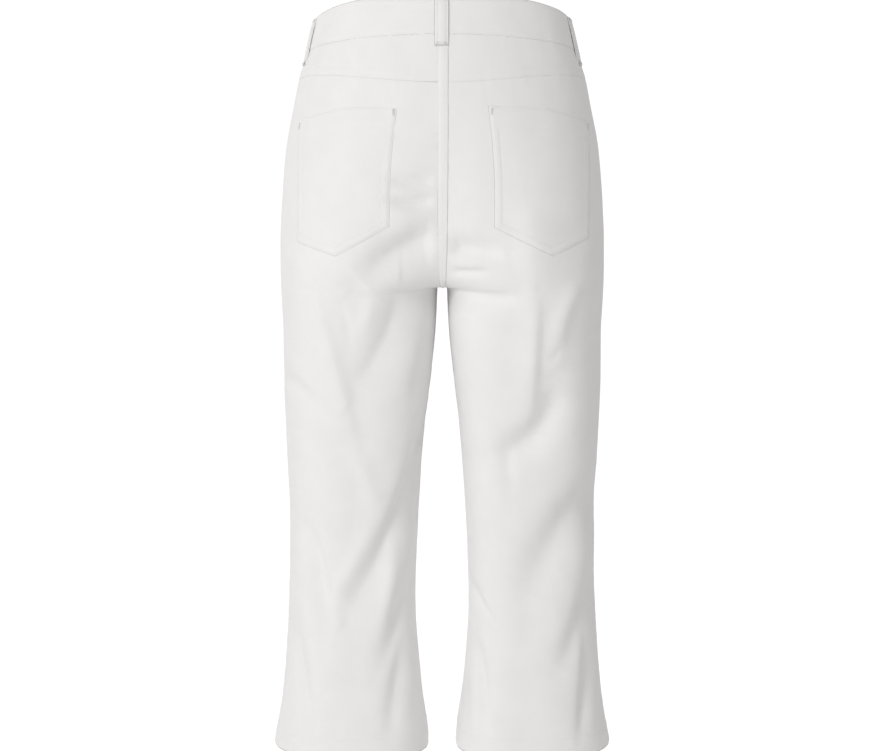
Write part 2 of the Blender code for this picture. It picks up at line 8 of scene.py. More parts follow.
import bpy
import numpy as np
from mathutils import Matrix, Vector


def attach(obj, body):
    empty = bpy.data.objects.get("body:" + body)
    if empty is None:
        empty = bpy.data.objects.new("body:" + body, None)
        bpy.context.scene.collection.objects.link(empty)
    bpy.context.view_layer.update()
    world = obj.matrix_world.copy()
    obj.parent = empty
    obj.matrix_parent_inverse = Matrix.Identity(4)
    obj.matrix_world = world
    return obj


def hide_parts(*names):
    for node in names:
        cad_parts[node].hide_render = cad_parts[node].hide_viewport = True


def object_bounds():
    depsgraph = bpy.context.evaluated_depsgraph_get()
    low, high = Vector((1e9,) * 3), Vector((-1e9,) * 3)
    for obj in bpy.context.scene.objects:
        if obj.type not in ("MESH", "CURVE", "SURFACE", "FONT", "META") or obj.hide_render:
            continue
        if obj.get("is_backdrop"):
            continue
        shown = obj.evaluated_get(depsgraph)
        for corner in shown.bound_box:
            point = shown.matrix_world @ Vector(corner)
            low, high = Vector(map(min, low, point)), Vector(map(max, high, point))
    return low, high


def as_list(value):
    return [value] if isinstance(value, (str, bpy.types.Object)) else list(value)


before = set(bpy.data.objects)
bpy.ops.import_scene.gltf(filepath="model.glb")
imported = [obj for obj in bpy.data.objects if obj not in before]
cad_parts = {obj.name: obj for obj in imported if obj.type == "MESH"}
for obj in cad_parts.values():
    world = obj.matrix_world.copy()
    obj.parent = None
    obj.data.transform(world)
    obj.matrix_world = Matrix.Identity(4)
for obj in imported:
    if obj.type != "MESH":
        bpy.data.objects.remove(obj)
CAD_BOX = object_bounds()
MM = 0.001

# ---- camera and light ----
CAMERA_AT = (0.0024, 3.0, 0.05)
CAMERA_AIM = (0.0024, 0.0, -0.359)
CAMERA_LENS = 115.8
CAMERA_REACH = 900
FLOOR_LEVEL = -1.04
FLOOR_SIZE = 800.0
FLOOR_COLOUR = (0.9, 0.9, 0.9)
# How bright the camera sees the floor, and how much of that look it takes.
FLOOR_GLOW = 1.12
FLOOR_GLOW_SHARE = 0.9
# Each light: name, place, size, watts, colour. All face AIM.
AIM = (0.0, 0.0, -0.38)
LIGHTS = (
    ("key", (2.03, 3.12, 0.88), 1.6, 51, (1.0, 0.996, 0.99)),
    ("front", (1.7, -2.7, 1.3), 1.2, 22, (1.0, 0.996, 0.99)),
)
WORLD_COLOUR = (1.0, 0.988, 0.98)
WORLD_STRENGTH = 0.545

# ---- the cut's sizes ----
WALL = 0.75 * MM
BAND_WALL = 1.5 * MM
FELL_WALL = 0.6 * MM
LOOP_WALL = 1.1 * MM
BAND_TOP = 15 * MM
BAND_SEAM = -21 * MM
TOP_DROP = {"left": 3.5 * MM, "right": 2 * MM}
BAND_PROUD = 0.2 * MM
BAND_HALF_GIRTH = 365 * MM
BAND_STITCH = 2 * MM
BAND_LAP_START = 1.5 * MM
BAND_LAP_GAP = 0.35 * MM
CROTCH = -258 * MM
HEM = -757 * MM
YOKE_SIDE = -46 * MM
YOKE_DIP = 10 * MM
RISE_ROUNDING = 8 * MM
RISE_FADE = 40 * MM
RISE_STEP = 2 * MM
WAIST_FULLNESS = 0.03
LEG_FULLNESS = 0.065
INNER_FULLNESS = 2.0
INNER_START = CROTCH + 5 * MM
INNER_RUN = 40 * MM
SEAT_CROWDING = 0.7
LEG_CROWDING = 0.5
HALF_GIRTH = 500 * MM
FLY_LAP = 4 * MM
FLY_END = -165 * MM
FLY_RUNOUT = 14 * MM
CROTCH_RUNOUT = 8 * MM
FLY_ROWS = (30 * MM, 36 * MM)
FLY_CURVE = 34 * MM
TAPE_PLACES = (12.8, 10, 7, 4, 2)
TAPE_GAP = 0.4 * MM
TAPE_WALL = 0.8 * MM
TOOTH_DEPTH = 1.5 * MM
TOOTH_PITCH = 1.3 * MM
TOOTH_WIDTH = 4.4 * MM
TOOTH_RADIUS = 0.55 * MM
BUTTON_OFFSET = 12 * MM
BUTTON_GAP = 1.4 * MM
BUTTON_SIDES = 48
# The button's radius and height, in mm, from its face's middle to its foot.
BUTTON_PROFILE = (
    (0.0, 1.6), (2.4, 1.7), (4.6, 2.1), (5.6, 2.7), (6.8, 3.1), (7.8, 2.9), (8.4, 2.3), (8.5, 1.6),
    (8.2, 1.0), (7.2, 0.7), (3.4, 0.5), (3.2, 0.0), (0.0, 0.0),
)
HOLE_STITCHES = 90
HOLE_STITCH = 1.8 * MM
HOLE_SINK = 0.6 * MM
HOLE_STRAIGHT = 8.5 * MM
HOLE_BEND = 3 * MM
HOLE_OPEN = 2.2 * MM
BAND_UNDERLAP = 38 * MM
LAP_RISE = 22 * MM
LOOP_WIDTH = 14 * MM
LOOP_STITCH = 4.3 * MM
LOOP_GAP = 0.25 * MM
LOOP_ARCH = 1.0 * MM
LOOP_END = 0.5 * MM
LOOP_ROWS = 46
LOOP_CELL = (4 * MM, 5 * MM)
LOOP_NOISE = 0.1 * MM
LOOP_ROW_LIFT = 0.1 * MM
LOOP_ROW_END = 1.5 * MM
LOOP_TACK_LIFT = 0.3 * MM
LOOP_TACK_END = 2.2 * MM
LOOP_PLACES = (-6.9, -6.4, -5.6, -4.4, -2.8, -1.0)
BACK_LOOP_OFFSET = 1.0 * MM
FELL_HALF = 6 * MM
FELL_PLACES = (5.6, 5.2, 4.4, 3.4, 2.0)
SEAM_CHANGE = 10 * MM

# ---- seams, stitches and hems ----
EDGE = 0.4 * MM
UNDER = 6 * MM
UNDER_DIP = 0.85 * MM
FELT_DIP = 0.15
EDGE_DROP = 0.35 * MM
EDGE_REACH = 2.4 * MM
POCKET_EDGE = 2.5
POCKET_TOP_EDGE = 3.3
DIP_REACH = 1.6 * MM
ROLL = 0.3 * MM
ROLL_REACH = 1.6 * MM
FELL_PLY = 0.15 * MM
FELL_WIDTH = 9 * MM
FELL_TOP = 0.85 * MM
FELL_RUNOUT = 5 * MM
FELL_SINK = 0.05 * MM
EDGE_STITCH = 1.7 * MM
SECOND_STITCH = 7.7 * MM
FELL_ROWS = (EDGE_STITCH, SECOND_STITCH)
ROW_END = 2 * MM
# Where rows run: from, to and how many points, in arounds on the hem and yoke and in levels on the others.
HEM_SPAN = (0.503, 0.997, 160)
YOKE_SPAN = (0.503, 0.988, 160)
INSEAM_SPAN = (CROTCH - 12 * MM, HEM + ROW_END, 240)
RISE_SPAN = (FLY_END - ROW_END, CROTCH + 6 * MM, 60)
FLY_SPAN = (BAND_SEAM - ROW_END, FLY_END, 70)
ZIP_SPAN = (BAND_SEAM - 20 * MM, FLY_END + 3 * MM, 60)
GROOVE = 0.3 * MM
GROOVE_HALF = 0.9 * MM
PUCKER = 0.32 * MM
PUCKER_LENGTH = 5.5 * MM
PUCKER_REACH = 9 * MM
FELL_PUCKER = 0.8
TOP_PUCKER = 0.7
TOP_SEED = 51
BAND_SEED = 57
YOKE_SEED = 61
YOKE_DROP = 0.7
BAND_DROP = 0.9
HEM_DEPTH = 19 * MM
HEM_PLY = 0.35 * MM
HEM_TWIST = 0.28 * MM
HEM_TWIST_CELL = 5 * MM
HEM_TWIST_LEAN = 0.7
HEM_PUCKER = 0.4
PLY_STEP = 1.5 * MM
WIDE_STEP = 2 * MM
HEM_WALL = 1.5 * MM
STITCH_PITCH = 3.2 * MM
STITCH_LENGTH = 2.5 * MM
THREAD_RADIUS = 0.21 * MM
STITCH_RINGS = np.array([-1.0, -0.55, 0.55, 1.0])
STITCH_HEIGHTS = np.array([-0.22, 0.10, 0.10, -0.22]) * MM
STITCH_SIDES = 5
TACK_PITCH = 0.5 * MM
# A bar tack's width and length.
POCKET_TACK = (2.2 * MM, 7 * MM)
LOOP_TACK = (11 * MM, 3 * MM)
MOTTLE_SHADE = 0.975
RIB_PITCH = 0.75 * MM
RIB_SCALE = 2 * np.pi / (20 * RIB_PITCH)

# ---- the grids ----
CELL = 3.2 * MM
BAND_CELL = 3 * MM
PANEL_COLUMNS = 74
GIVE_POWER = 7
LEAST = 1e-3
PLACE_STEPS = 12
SEAT_CELL = 0.7 * CELL
RIM_ANGLES = np.radians([45, 90, 135])
HEM_ROWS = np.array([0, 0.8, 2, 4, 7, 10, 13, 15.5, 17.2, 18.4, 19.4, 20.6, 22.5]) * MM
FINE = np.array([0, 0.5, 1.1, 1.8, 2.6, 3.6, 5.0, 6.4, 7.3, 8.2, 9.2, 10.6, 13.0]) * MM

# ---- the skin's sections, in mm ----
# One row for each level. outer and inner are the ring's reach from the centre plane (inner is negative where the
# plane cuts the ring), back and front its depths, middle the y of its widest point, and tilt the rise of the
# centre back over the side seam.
SECTION_COLUMNS = ("level", "outer", "inner", "back", "front", "middle", "tilt")
SECTIONS = (
    (20, 133.4, -133.4, 94, 87, 2, 33),
    (15, 134.6, -134.6, 95, 88, 2, 32),
    (-4, 139.2, -139.2, 98, 91, 2, 28),
    (-21, 143.4, -143.4, 101, 94, 3, 26),
    (-44, 150.5, -145.0, 108, 98, 4, 16.5),
    (-73, 156.5, -131.0, 114, 101, 5, 8),
    (-118, 164.8, -99.0, 121, 104, 6, 3),
    (-171, 169.2, -69.0, 125, 105, 7, 0),
    (-214, 171.0, -45.0, 123, 104, 8, 0),
    (-237, 171.0, -28.0, 120, 102, 8, 0),
    (-247, 170.8, -18.5, 118.3, 101.2, 8, 0),
    (-253, 170.67, -10.5, 117.1, 100.7, 8, 0),
    (-258, 170.55, 0.0, 116.1, 100.3, 7.9, 0),
    (-259, 170.53, 4.0, 115.9, 100.2, 7.87, 0),
    (-263, 170.4, 5.1, 115.1, 99.8, 7.7, 0),
    (-278, 169.8, 5.7, 112, 98, 7, 0),
    (-310, 168.7, 7.5, 106, 94, 6, 0),
    (-358, 168.6, 12.3, 97, 88, 4, 0),
    (-407, 167.3, 18.0, 88, 83, 2, 0),
    (-456, 165.5, 22.0, 80, 79, 0, 0),
    (-505, 163.7, 25.3, 74, 76, -1, 0),
    (-555, 164.0, 27.6, 71, 74, -2, 0),
    (-604, 165.5, 28.8, 71, 75, -2, 0),
    (-654, 168.2, 26.5, 73, 77, -2, 0),
    (-704, 172.7, 22.0, 76, 79, -2, 0),
    (-737, 177.9, 17.2, 79, 81, -1, 0),
    (-757, 181.3, 15.3, 80, 82, -1, 0),
    (-770, 183.4, 14.1, 81, 83, -1, 0),
)

# ---- creases, in mm ----
# For each half and face a row for each crease: start, bend and end as x and z on that half, half width, depth (a
# ridge has a negative depth), and its lean where it has one. On a crease that runs down, a positive lean widens the
# flank away from the centre. The fronts have drag lines from the crotch, knee breaks and hem flutes.
FOLD_COLUMNS = ("x0", "z0", "x1", "z1", "x2", "z2", "width", "depth", "lean")
FOLDS = {
    ("left", "back"): (
        # seat
        (54, -141, 29, -144, 0, -143, 6, 6), (54, -162, 29, -165, 0, -163, 6, 7),
        (-8, -207, 36, -213, 86, -249, 19, 13.5, -0.15),
        # thigh and knee
        (42, -258, 53, -299, 88, -362, 20, 8.5, -0.4), (72, -261, 76, -282, 85, -303, 8, -3),
        (135, -250, 112, -331, 90, -426, 11, -4, 0.3), (107, -265, 98, -292, 97, -318, 4, 1.2),
        (166, -352, 148, -364, 122, -390, 8, 4.2), (12, -304, 23, -344, 31, -378, 6, 2.2),
        (90, -426, 80, -456, 65, -486, 9, -2.6), (2, -380, 38, -488, 99, -604, 16, 12, -0.25),
        (71, -503, 97, -556, 119, -589, 10, -3.5), (47, -513, 53, -564, 66, -624, 8, -3.5),
        (26, -547, 41, -607, 66, -667, 10, 7.5, 0.2),
        # hem
        (30, -600, 46, -674, 56, -740, 9, 5.5), (150, -500, 130, -553, 122, -628, 10, 7, 0.2),
        (158, -598, 150, -668, 134, -742, 7, 4.5), (127, -626, 127, -641, 127, -656, 4, 0.8),
    ),
    ("right", "back"): (
        # seat
        (7, -146, 16, -149, 26, -152, 4, 1.2), (-8, -210, 28, -215, 66, -216, 11, 9, 0.2),
        (4, -228, 23, -226, 48, -228, 5, -1.6), (4, -237, 26, -238, 50, -235, 4, 3.4),
        (22, -267, 49, -267, 78, -261, 7, 3.6),
        # thigh and knee
        (90, -160, 92, -215, 96, -292, 20, -4.5, 0.2), (96, -262, 95, -320, 92, -388, 11, -5, -0.5),
        (144, -250, 126, -278, 117, -330, 9, -4.4), (122, -315, 117, -324, 112, -332, 4, 1.8),
        (111, -364, 125, -365, 141, -367, 2.2, -0.6), (116, -352, 102, -406, 48, -436, 15, 11),
        (68, -422, 69, -448, 72, -478, 8, 2.4), (180, -468, 128, -514, 92, -592, 24, 13, 0.1),
        # hem
        (176, -548, 153, -610, 124, -668, 13, 8), (158, -625, 153, -685, 147, -739, 7, 7, 0.2),
        (26, -569, 40, -594, 59, -625, 5, 4), (35, -630, 44, -678, 43, -735, 5, 4.2),
        (30, -642, 33, -687, 33, -732, 4, -1.6),
    ),
    ("left", "front"): (
        (14, -214, 52, -204, 104, -172, 12, 3.6), (18, -262, 60, -264, 112, -238, 12, 4),
        (12, -236, 34, -236, 64, -222, 6, 1.6), (16, -290, 40, -306, 70, -312, 8, 2),
        (128, -290, 98, -352, 90, -430, 16, 4), (70, -330, 62, -392, 70, -440, 12, -2.4),
        (30, -452, 76, -476, 134, -462, 14, 4.5), (60, -500, 96, -514, 140, -498, 8, 2),
        (48, -520, 70, -586, 112, -640, 14, 5), (138, -590, 124, -660, 128, -735, 12, 4),
        (52, -640, 60, -690, 54, -742, 9, 2.4),
    ),
    ("right", "front"): (
        (12, -224, 60, -222, 110, -196, 12, 3.6), (16, -252, 52, -276, 98, -274, 12, 4),
        (14, -240, 36, -246, 58, -240, 6, 1.6), (120, -306, 104, -380, 108, -444, 16, 4),
        (66, -300, 56, -360, 66, -420, 12, -2.4), (34, -474, 84, -500, 140, -486, 14, 4.5),
        (40, -440, 72, -452, 110, -446, 7, 1.6), (140, -540, 106, -590, 92, -668, 14, 5),
        (44, -620, 58, -680, 56, -738, 12, 4), (140, -640, 132, -690, 140, -740, 9, 2.6),
    ),
}
FOLD_STEPS = 8
FOLD_END = 0.04
FOLD_TAPER = 0.7
SIDE_BLEND = 0.2
RISE_CALM = 16 * MM
CALM_FADE = 20 * MM
SEAM_CALM = 14 * MM
SEAM_STIFFNESS = 0.8
# The cloth's small unevenness: cell width and height, and height, each in mm.
UNEVENNESS = ((26, 52, 0.45), (11, 19, 0.12))

# ---- pockets and loops ----
# The pocket's corners as x and z on that half, and the bows of its inner edge and its top, in mm.
POCKET_CORNERS = {
    "left": {"inner_top": (46, -68), "inner_foot": (54, -189), "tip": (109, -220),
             "outer_foot": (149, -208), "outer_top": (150, -86)},
    "right": {"inner_top": (46.5, -67), "inner_foot": (53, -190), "tip": (113, -220),
              "outer_foot": (151, -204), "outer_top": (153, -87)},
}
POCKET_BOW = 2.5
POCKET_TOP_BOW = 8
POCKET_TOP_SKEW = 1.2
# Its width, and its height with and without its point, between which its rows are spread.
POCKET_WIDE = 105 * MM
POCKET_HIGH = 135 * MM
POCKET_SIDE = 128 * MM
POCKET_ROUND = 175 * MM
# How much wider than it looks the pocket is at its outer edge, and the least cosine of its turn round the hip.
POCKET_STRETCH = 1.25
LEAST_COSINE = 0.3
POCKET_LIFT = 0.7 * MM
POCKET_TURNED = 0.3 * MM
POCKET_HEM_PLY = 0.4 * MM
POCKET_BILLOW = 0.8 * MM
BILLOW_REACH = 30 * MM
FOOT_SHARE = 0.9
TOP_RIPPLES = 0.8
EDGE_RIPPLES = 0.4
RIPPLES_REACH = 3 * MM
POCKET_HEM = 20 * MM
POCKET_HEM_ROWS = np.array([17, 19, 20, 21.5]) * MM
POCKET_END = 0.012
# Where the bar tacks lie across it and down it.
TACKS_ACROSS = (0.03, 0.975)
TACKS_DOWN = 0.045
TACKS_LIFT = 0.2 * MM
CENTRE_BACK = 90
# Each loop: name, half, degrees from the side seam towards the back, and the length of cloth it takes, in metres.
LOOPS = (
    ("belt_loop_back", "left", CENTRE_BACK, 0.053),
    ("belt_loop_side_left", "left", 14, 0.048),
    ("belt_loop_side_right", "right", 14, 0.050),
    ("belt_loop_front_left", "left", -48, 0.038),
    ("belt_loop_front_right", "right", -48, 0.040),
)
# For each level the loop's height over the cloth at the sides and over the centre back, in mm.
LOOP_PROFILE = (
    (-33.5, 0.1, 0.5), (-30.0, 0.1, 0.5), (-26.0, 0.4, 0.7), (-21.0, 0.8, 0.9), (-14.0, 1.0, 1.1),
    (-6.0, 1.1, 1.2), (2.0, 1.0, 1.1), (8.0, 0.7, 0.8), (12.0, 0.4, 0.5), (14.6, 0.2, 0.2),
)
SIDES = {"left": 1, "right": -1}


# ---- the skin ----
def hermite_slopes(xs, ys):
    """Slopes that keep a cubic curve through the points free of overshoot."""
    steps = np.diff(xs)
    rises = np.diff(ys) / steps
    slopes = np.concatenate([rises[:1], np.zeros(len(xs) - 2), rises[-1:]])
    for k in range(1, len(xs) - 1):
        before, after = rises[k - 1], rises[k]
        if before * after > 0:
            first = 2 * steps[k] + steps[k - 1]
            second = steps[k] + 2 * steps[k - 1]
            slopes[k] = (first + second) / (first / before + second / after)
    return slopes


def cubic(xs, ys, slopes, x):
    """The cubic curve through the points with these slopes, at x."""
    k = np.clip(np.searchsorted(xs, x) - 1, 0, len(xs) - 2)
    step = xs[k + 1] - xs[k]
    t = (x - xs[k]) / step
    return (
        ys[k] * (1 + 2 * t) * (1 - t) ** 2
        + ys[k + 1] * t ** 2 * (3 - 2 * t)
        + slopes[k] * step * t * (1 - t) ** 2
        - slopes[k + 1] * step * t ** 2 * (1 - t)
    )


SECTION_TABLE = dict(zip(SECTION_COLUMNS, np.array(sorted(SECTIONS), float).T * MM))
SECTION_SLOPES = {name: hermite_slopes(SECTION_TABLE["level"], values) for name, values in SECTION_TABLE.items()}


def column(name, level):
    return cubic(SECTION_TABLE["level"], SECTION_TABLE[name], SECTION_SLOPES[name], level)


def smooth(t):
    t = np.clip(t, 0, 1)
    return t * t * (3 - 2 * t)


def faded(distance, reach):
    """1 up to no distance, falling to 0 at reach."""
    return 1 - smooth(distance / reach)


def unit(vectors):
    return vectors / np.linalg.norm(vectors, axis=-1, keepdims=True)


def pairs(first, second):
    """Two values side by side, each spread over the other's shape."""
    return np.stack(np.broadcast_arrays(first, second), axis=-1)


def mirrored(places, middle=(0,)):
    """These places, in mm, the middle and their mirror images, in metres."""
    return np.array([*places, *middle, *(-place for place in places[::-1])]) * MM


def turns(count):
    """Angles once round."""
    return np.linspace(0, 2 * np.pi, count, endpoint=False)


def grid(columns):
    """Points and normals in rows, from those of each column."""
    return tuple(np.stack([column[k] for column in columns], axis=1) for k in (0, 1))


def ring(level):
    """The ring's centre, radius and reach: the angle at which it meets the centre plane, or pi on a leg."""
    outer, inner = column("outer", level), column("inner", level)
    centre = (outer + inner) / 2
    radius = (outer - inner) / 2
    return centre, radius, np.arccos(np.clip(-centre / radius, -1, 1))


def half_depth(face, level):
    """The ring's depth from its middle to the back (face 1) or the front (face -1)."""
    middle = column("middle", level)
    return np.where(face > 0, column("back", level) - middle, column("front", level) + middle)


def rise_slope(face, level):
    """How steeply the halves would meet at the centre seam, and the seam's outward direction as y and z."""
    level = np.maximum(level, CROTCH + RISE_STEP)
    ends = []
    for near in (level - RISE_STEP / 2, level + RISE_STEP / 2):
        ends.append(column("middle", near) + face * half_depth(face, near) * np.sin(ring(near)[2]))
    run = (ends[1] - ends[0]) * face
    length = np.hypot(run, RISE_STEP)
    radius, reach = ring(level)[1:]
    slope = -half_depth(face, level) * np.cos(reach) * RISE_STEP / (radius * np.sin(reach) * length)
    return slope, face * RISE_STEP / length, -run / length


def section(around, level):
    """Points of the undisturbed skin on the +X half, and the sine of their angle (positive on the back)."""
    return at_angle((2 * around - 1) * ring(level)[2], level)


def fullness(angle, level):
    """How much further than an ellipse the ring reaches between the side, the faces' middles and the seam."""
    reach = ring(level)[2]
    size = np.abs(angle)
    outer = np.sin(2 * np.minimum(size, np.pi / 2)) ** 2
    inner_span = np.maximum(reach / (np.pi / 2) - 1, LEAST)
    inner = np.sin(np.pi * np.clip((size / (np.pi / 2) - 1) / inner_span, 0, 1)) ** 2
    share = WAIST_FULLNESS + (LEG_FULLNESS - WAIST_FULLNESS) * smooth((BAND_SEAM - level) / (BAND_SEAM - CROTCH))
    return 1 + share * (outer + INNER_FULLNESS * inner_span * inner * smooth((INNER_START - level) / INNER_RUN))


def at_angle(angle, level):
    centre, radius, _ = ring(level)
    full = fullness(angle, level)
    sine = np.sin(angle)
    face = np.where(sine > 0, 1, -1)
    x = centre + radius * full * np.cos(angle)
    y = column("middle", level) + half_depth(face, level) * full * sine
    z = level + column("tilt", level) * sine
    slope, out_y, out_z = rise_slope(face, level)
    rounding = slope * (np.hypot(x, RISE_ROUNDING) - np.abs(x)) * smooth((level - CROTCH) / RISE_FADE + 1)
    return np.stack([x, y + out_y * rounding, z + out_z * rounding], axis=-1), sine


def outward(around, level):
    """Unit normals of the undisturbed skin on the +X half."""
    nudge, drop = 2e-4, 0.1 * MM
    angle = (2 * around - 1) * ring(level)[2]
    along = at_angle(angle + nudge, level)[0] - at_angle(angle - nudge, level)[0]
    up = at_angle(angle, level + drop)[0] - at_angle(angle, level - drop)[0]
    return unit(np.cross(along, up))


def speed(around, level):
    """How many metres of cloth one unit of around is, there."""
    nudge = 1e-4
    ends = section(around + nudge, level)[0] - section(around - nudge, level)[0]
    return np.linalg.norm(ends, axis=-1) / (2 * nudge)


def fold_line(fold):
    """The points of a crease's centre line: a quadratic curve through start, bend and end, in metres."""
    t = np.linspace(0, 1, FOLD_STEPS + 1)[:, None]
    start, bend, end = (np.array([fold["x" + k], fold["z" + k]], float) for k in "012")
    pull = 2 * bend - (start + end) / 2
    return (start * (1 - t) ** 2 + 2 * pull * t * (1 - t) + end * t ** 2) * MM


def fold_depth(fold, x, z):
    """How far one crease sinks the skin at (x, z): soft across, leaning to one side, tapered to its ends."""
    line = fold["line"]
    nearest = np.full(x.shape, np.inf)
    along = np.zeros(x.shape)
    side = np.zeros(x.shape)
    for k in range(FOLD_STEPS):
        dx, dz = line[k + 1] - line[k]
        from_x, from_z = x - line[k, 0], z - line[k, 1]
        t = np.clip((from_x * dx + from_z * dz) / (dx * dx + dz * dz), 0, 1)
        away = np.hypot(from_x - t * dx, from_z - t * dz)
        closer = away < nearest
        nearest = np.where(closer, away, nearest)
        along = np.where(closer, (k + t) / FOLD_STEPS, along)
        side = np.where(closer, dx * from_z - dz * from_x, side)
    taper = np.sin(np.pi * np.clip(along, FOLD_END, 1 - FOLD_END)) ** FOLD_TAPER
    width = fold["width"] * MM * (1 + fold["lean"] * np.sign(side))
    return fold["depth"] * MM * taper * np.exp(-((nearest / width) ** 2))


CREASES = [
    dict(zip(FOLD_COLUMNS, (*row, 0)), half=half, face=face)
    for (half, face), rows in FOLDS.items() for row in rows
]
for crease in CREASES:
    crease["line"] = fold_line(crease)

LATTICE = np.random.default_rng(7).uniform(-1, 1, (64, 64))


def noise(u, v=0.0):
    """Smooth uneven values from -1 to 1, in cells one unit wide and high."""
    u, v = np.broadcast_arrays(np.asarray(u, float), np.asarray(v, float))
    i, j = np.floor(u).astype(int), np.floor(v).astype(int)
    s, t = smooth(u - i), smooth(v - j)
    n = len(LATTICE)
    low = LATTICE[i % n, j % n] * (1 - s) + LATTICE[(i + 1) % n, j % n] * s
    high = LATTICE[i % n, (j + 1) % n] * (1 - s) + LATTICE[(i + 1) % n, (j + 1) % n] * s
    return low * (1 - t) + high * t


def relief(half, points, sine, around, level):
    """How far all creases of one half sink the skin: little at stiff seams, and nothing at the centre seams."""
    x, z = points[..., 0], points[..., 2]
    on_back = smooth(0.5 + sine / (2 * SIDE_BLEND))
    depth = np.zeros(x.shape)
    for fold in CREASES:
        if fold["half"] == half:
            share = on_back if fold["face"] == "back" else 1 - on_back
            depth += share * fold_depth(fold, x, z)
    girth = (around - 0.5) * HALF_GIRTH
    for k, (wide, high, amount) in enumerate(UNEVENNESS):
        depth += amount * MM * noise(girth / (wide * MM) + 7 * k + 11 * SIDES[half], z / (high * MM))
    near_seam = faded(np.abs(x), RISE_CALM)
    above_crotch = smooth((level - CROTCH) / CALM_FADE + 1)
    to_seam = (0.25 - np.abs(0.25 - np.abs(around - 0.5))) * HALF_GIRTH
    stiff = SEAM_STIFFNESS * np.exp(-((to_seam / SEAM_CALM) ** 2))
    return depth * (1 - near_seam * above_crotch) * (1 - stiff)


def surface(half, around, level, lift=0.0):
    """Points lift metres above the creased skin of one half, and the outward normals there."""
    around, level, lift = np.broadcast_arrays(*(np.asarray(a, float) for a in (around, level, lift)))
    points, sine = section(around, level)
    normal = outward(around, level)
    points = points + normal * (lift - relief(half, points, sine, around, level))[..., None]
    return points * (SIDES[half], 1, 1), normal * (SIDES[half], 1, 1)


def around_at(angle_degrees, level):
    """The around that lies at an angle from the side seam, positive towards the back."""
    return 0.5 + np.radians(angle_degrees) / (2 * ring(level)[2])


def back_place(x, z):
    """The around and level of the point at x and z on the back, in metres."""
    level, angle = z, np.pi / 2
    for _ in range(PLACE_STEPS):
        centre, radius, reach = ring(level)
        angle = np.arccos(np.clip((x - centre) / (radius * fullness(angle, level)), -1, 1))
        level = z - column("tilt", level) * np.sin(angle)
    return 0.5 + angle / (2 * reach), level


# ---- distances to seams, in metres ----
def yoke_seam(around):
    """The level of the yoke's lower seam: it dips towards the centre back."""
    return YOKE_SIDE - YOKE_DIP * np.sin(np.pi * (around - 0.5)) ** 4


def from_seam(seam, around, level):
    """The distance along the cloth from a seam at one around."""
    return np.abs(around - seam) * speed(seam, level) * np.where(np.abs(around - 0.5) > 0.5, -1, 1)


def fly_lap(level):
    """How far the left front laps over the right one, past the centre: all of FLY_LAP down to the fly's end."""
    return FLY_LAP * smooth((level - FLY_END) / FLY_RUNOUT) * smooth((level - CROTCH) / CROTCH_RUNOUT)


def inseam_share(level):
    """1 below the crotch, where the centre seam has become the inseam, and 0 above."""
    return smooth((CROTCH - level) / SEAM_CHANGE)


def groove(distance, stitch):
    """The dent of a stitch row at its distance from a seam."""
    return -GROOVE * np.exp(-(((distance - stitch) / GROOVE_HALF) ** 2))


def stitched(distance):
    """The top of a felled seam: two rows of stitches and a ridge between them."""
    ridge = FELL_PLY * faded(distance - FELL_WIDTH, WIDE_STEP)
    return ridge + groove(distance, EDGE_STITCH) + groove(distance, SECOND_STITCH)


def pucker(distance, along, seed):
    """Small ripples across a stitched edge, fading from it."""
    fade = np.exp(-((np.maximum(distance, 0) / PUCKER_REACH) ** 2))
    return PUCKER * fade * noise(along / PUCKER_LENGTH + 17.3 * seed, seed + 0.5)


def join_pucker(half, around, distance, seed):
    """Ripples that both pieces of a seam share, distance metres from it."""
    return pucker(np.abs(distance), SIDES[half] * around * HALF_GIRTH, seed)


def dip(distance):
    """The drop of an edge that runs under its neighbour."""
    return -UNDER_DIP * faded(distance, DIP_REACH)


def edge_drop(distance):
    """How far a stitched-down edge sinks towards what it lies on."""
    return -EDGE_DROP * faded(distance, EDGE_REACH)


def hem_lift(around, level, seed):
    """The hem: an even edge, one stitch row, and a slight twist between them."""
    distance = level - HEM
    along = (around - 0.5) * HALF_GIRTH
    twist = HEM_TWIST * noise((along + HEM_TWIST_LEAN * distance) / HEM_TWIST_CELL + 3.7 * seed, seed)
    lift = faded(distance - HEM_DEPTH, PLY_STEP) * (HEM_PLY + twist) + groove(distance, HEM_DEPTH)
    return lift + HEM_PUCKER * pucker(np.abs(distance - HEM_DEPTH), along, seed + 3)


def back_lift(half, around, level):
    side = from_seam(0.5, around, level)
    inner = from_seam(1, around, level)
    seed = 1 + SIDES[half]
    lift = FELT_DIP * dip(yoke_seam(around) - level) - ROLL * faded(side, ROLL_REACH)
    lift += inseam_share(level) * (stitched(inner) + pucker(inner, level, seed))
    lift += (1 - inseam_share(level)) * pucker(inner - FELL_HALF, level, seed + 5)
    lift += pucker(side, level, seed + 9) + join_pucker(half, around, yoke_seam(around) - level, YOKE_SEED)
    return lift + hem_lift(around, level, seed)


def yoke_lift(half, around, level):
    side = from_seam(0.5, around, level)
    below = level - yoke_seam(around)
    lift = FELT_DIP * dip(BAND_SEAM - level) - ROLL * faded(side, ROLL_REACH)
    lift += stitched(below) + YOKE_DROP * edge_drop(below) + join_pucker(half, around, below, YOKE_SEED)
    return lift + join_pucker(half, around, BAND_SEAM - level, BAND_SEED)


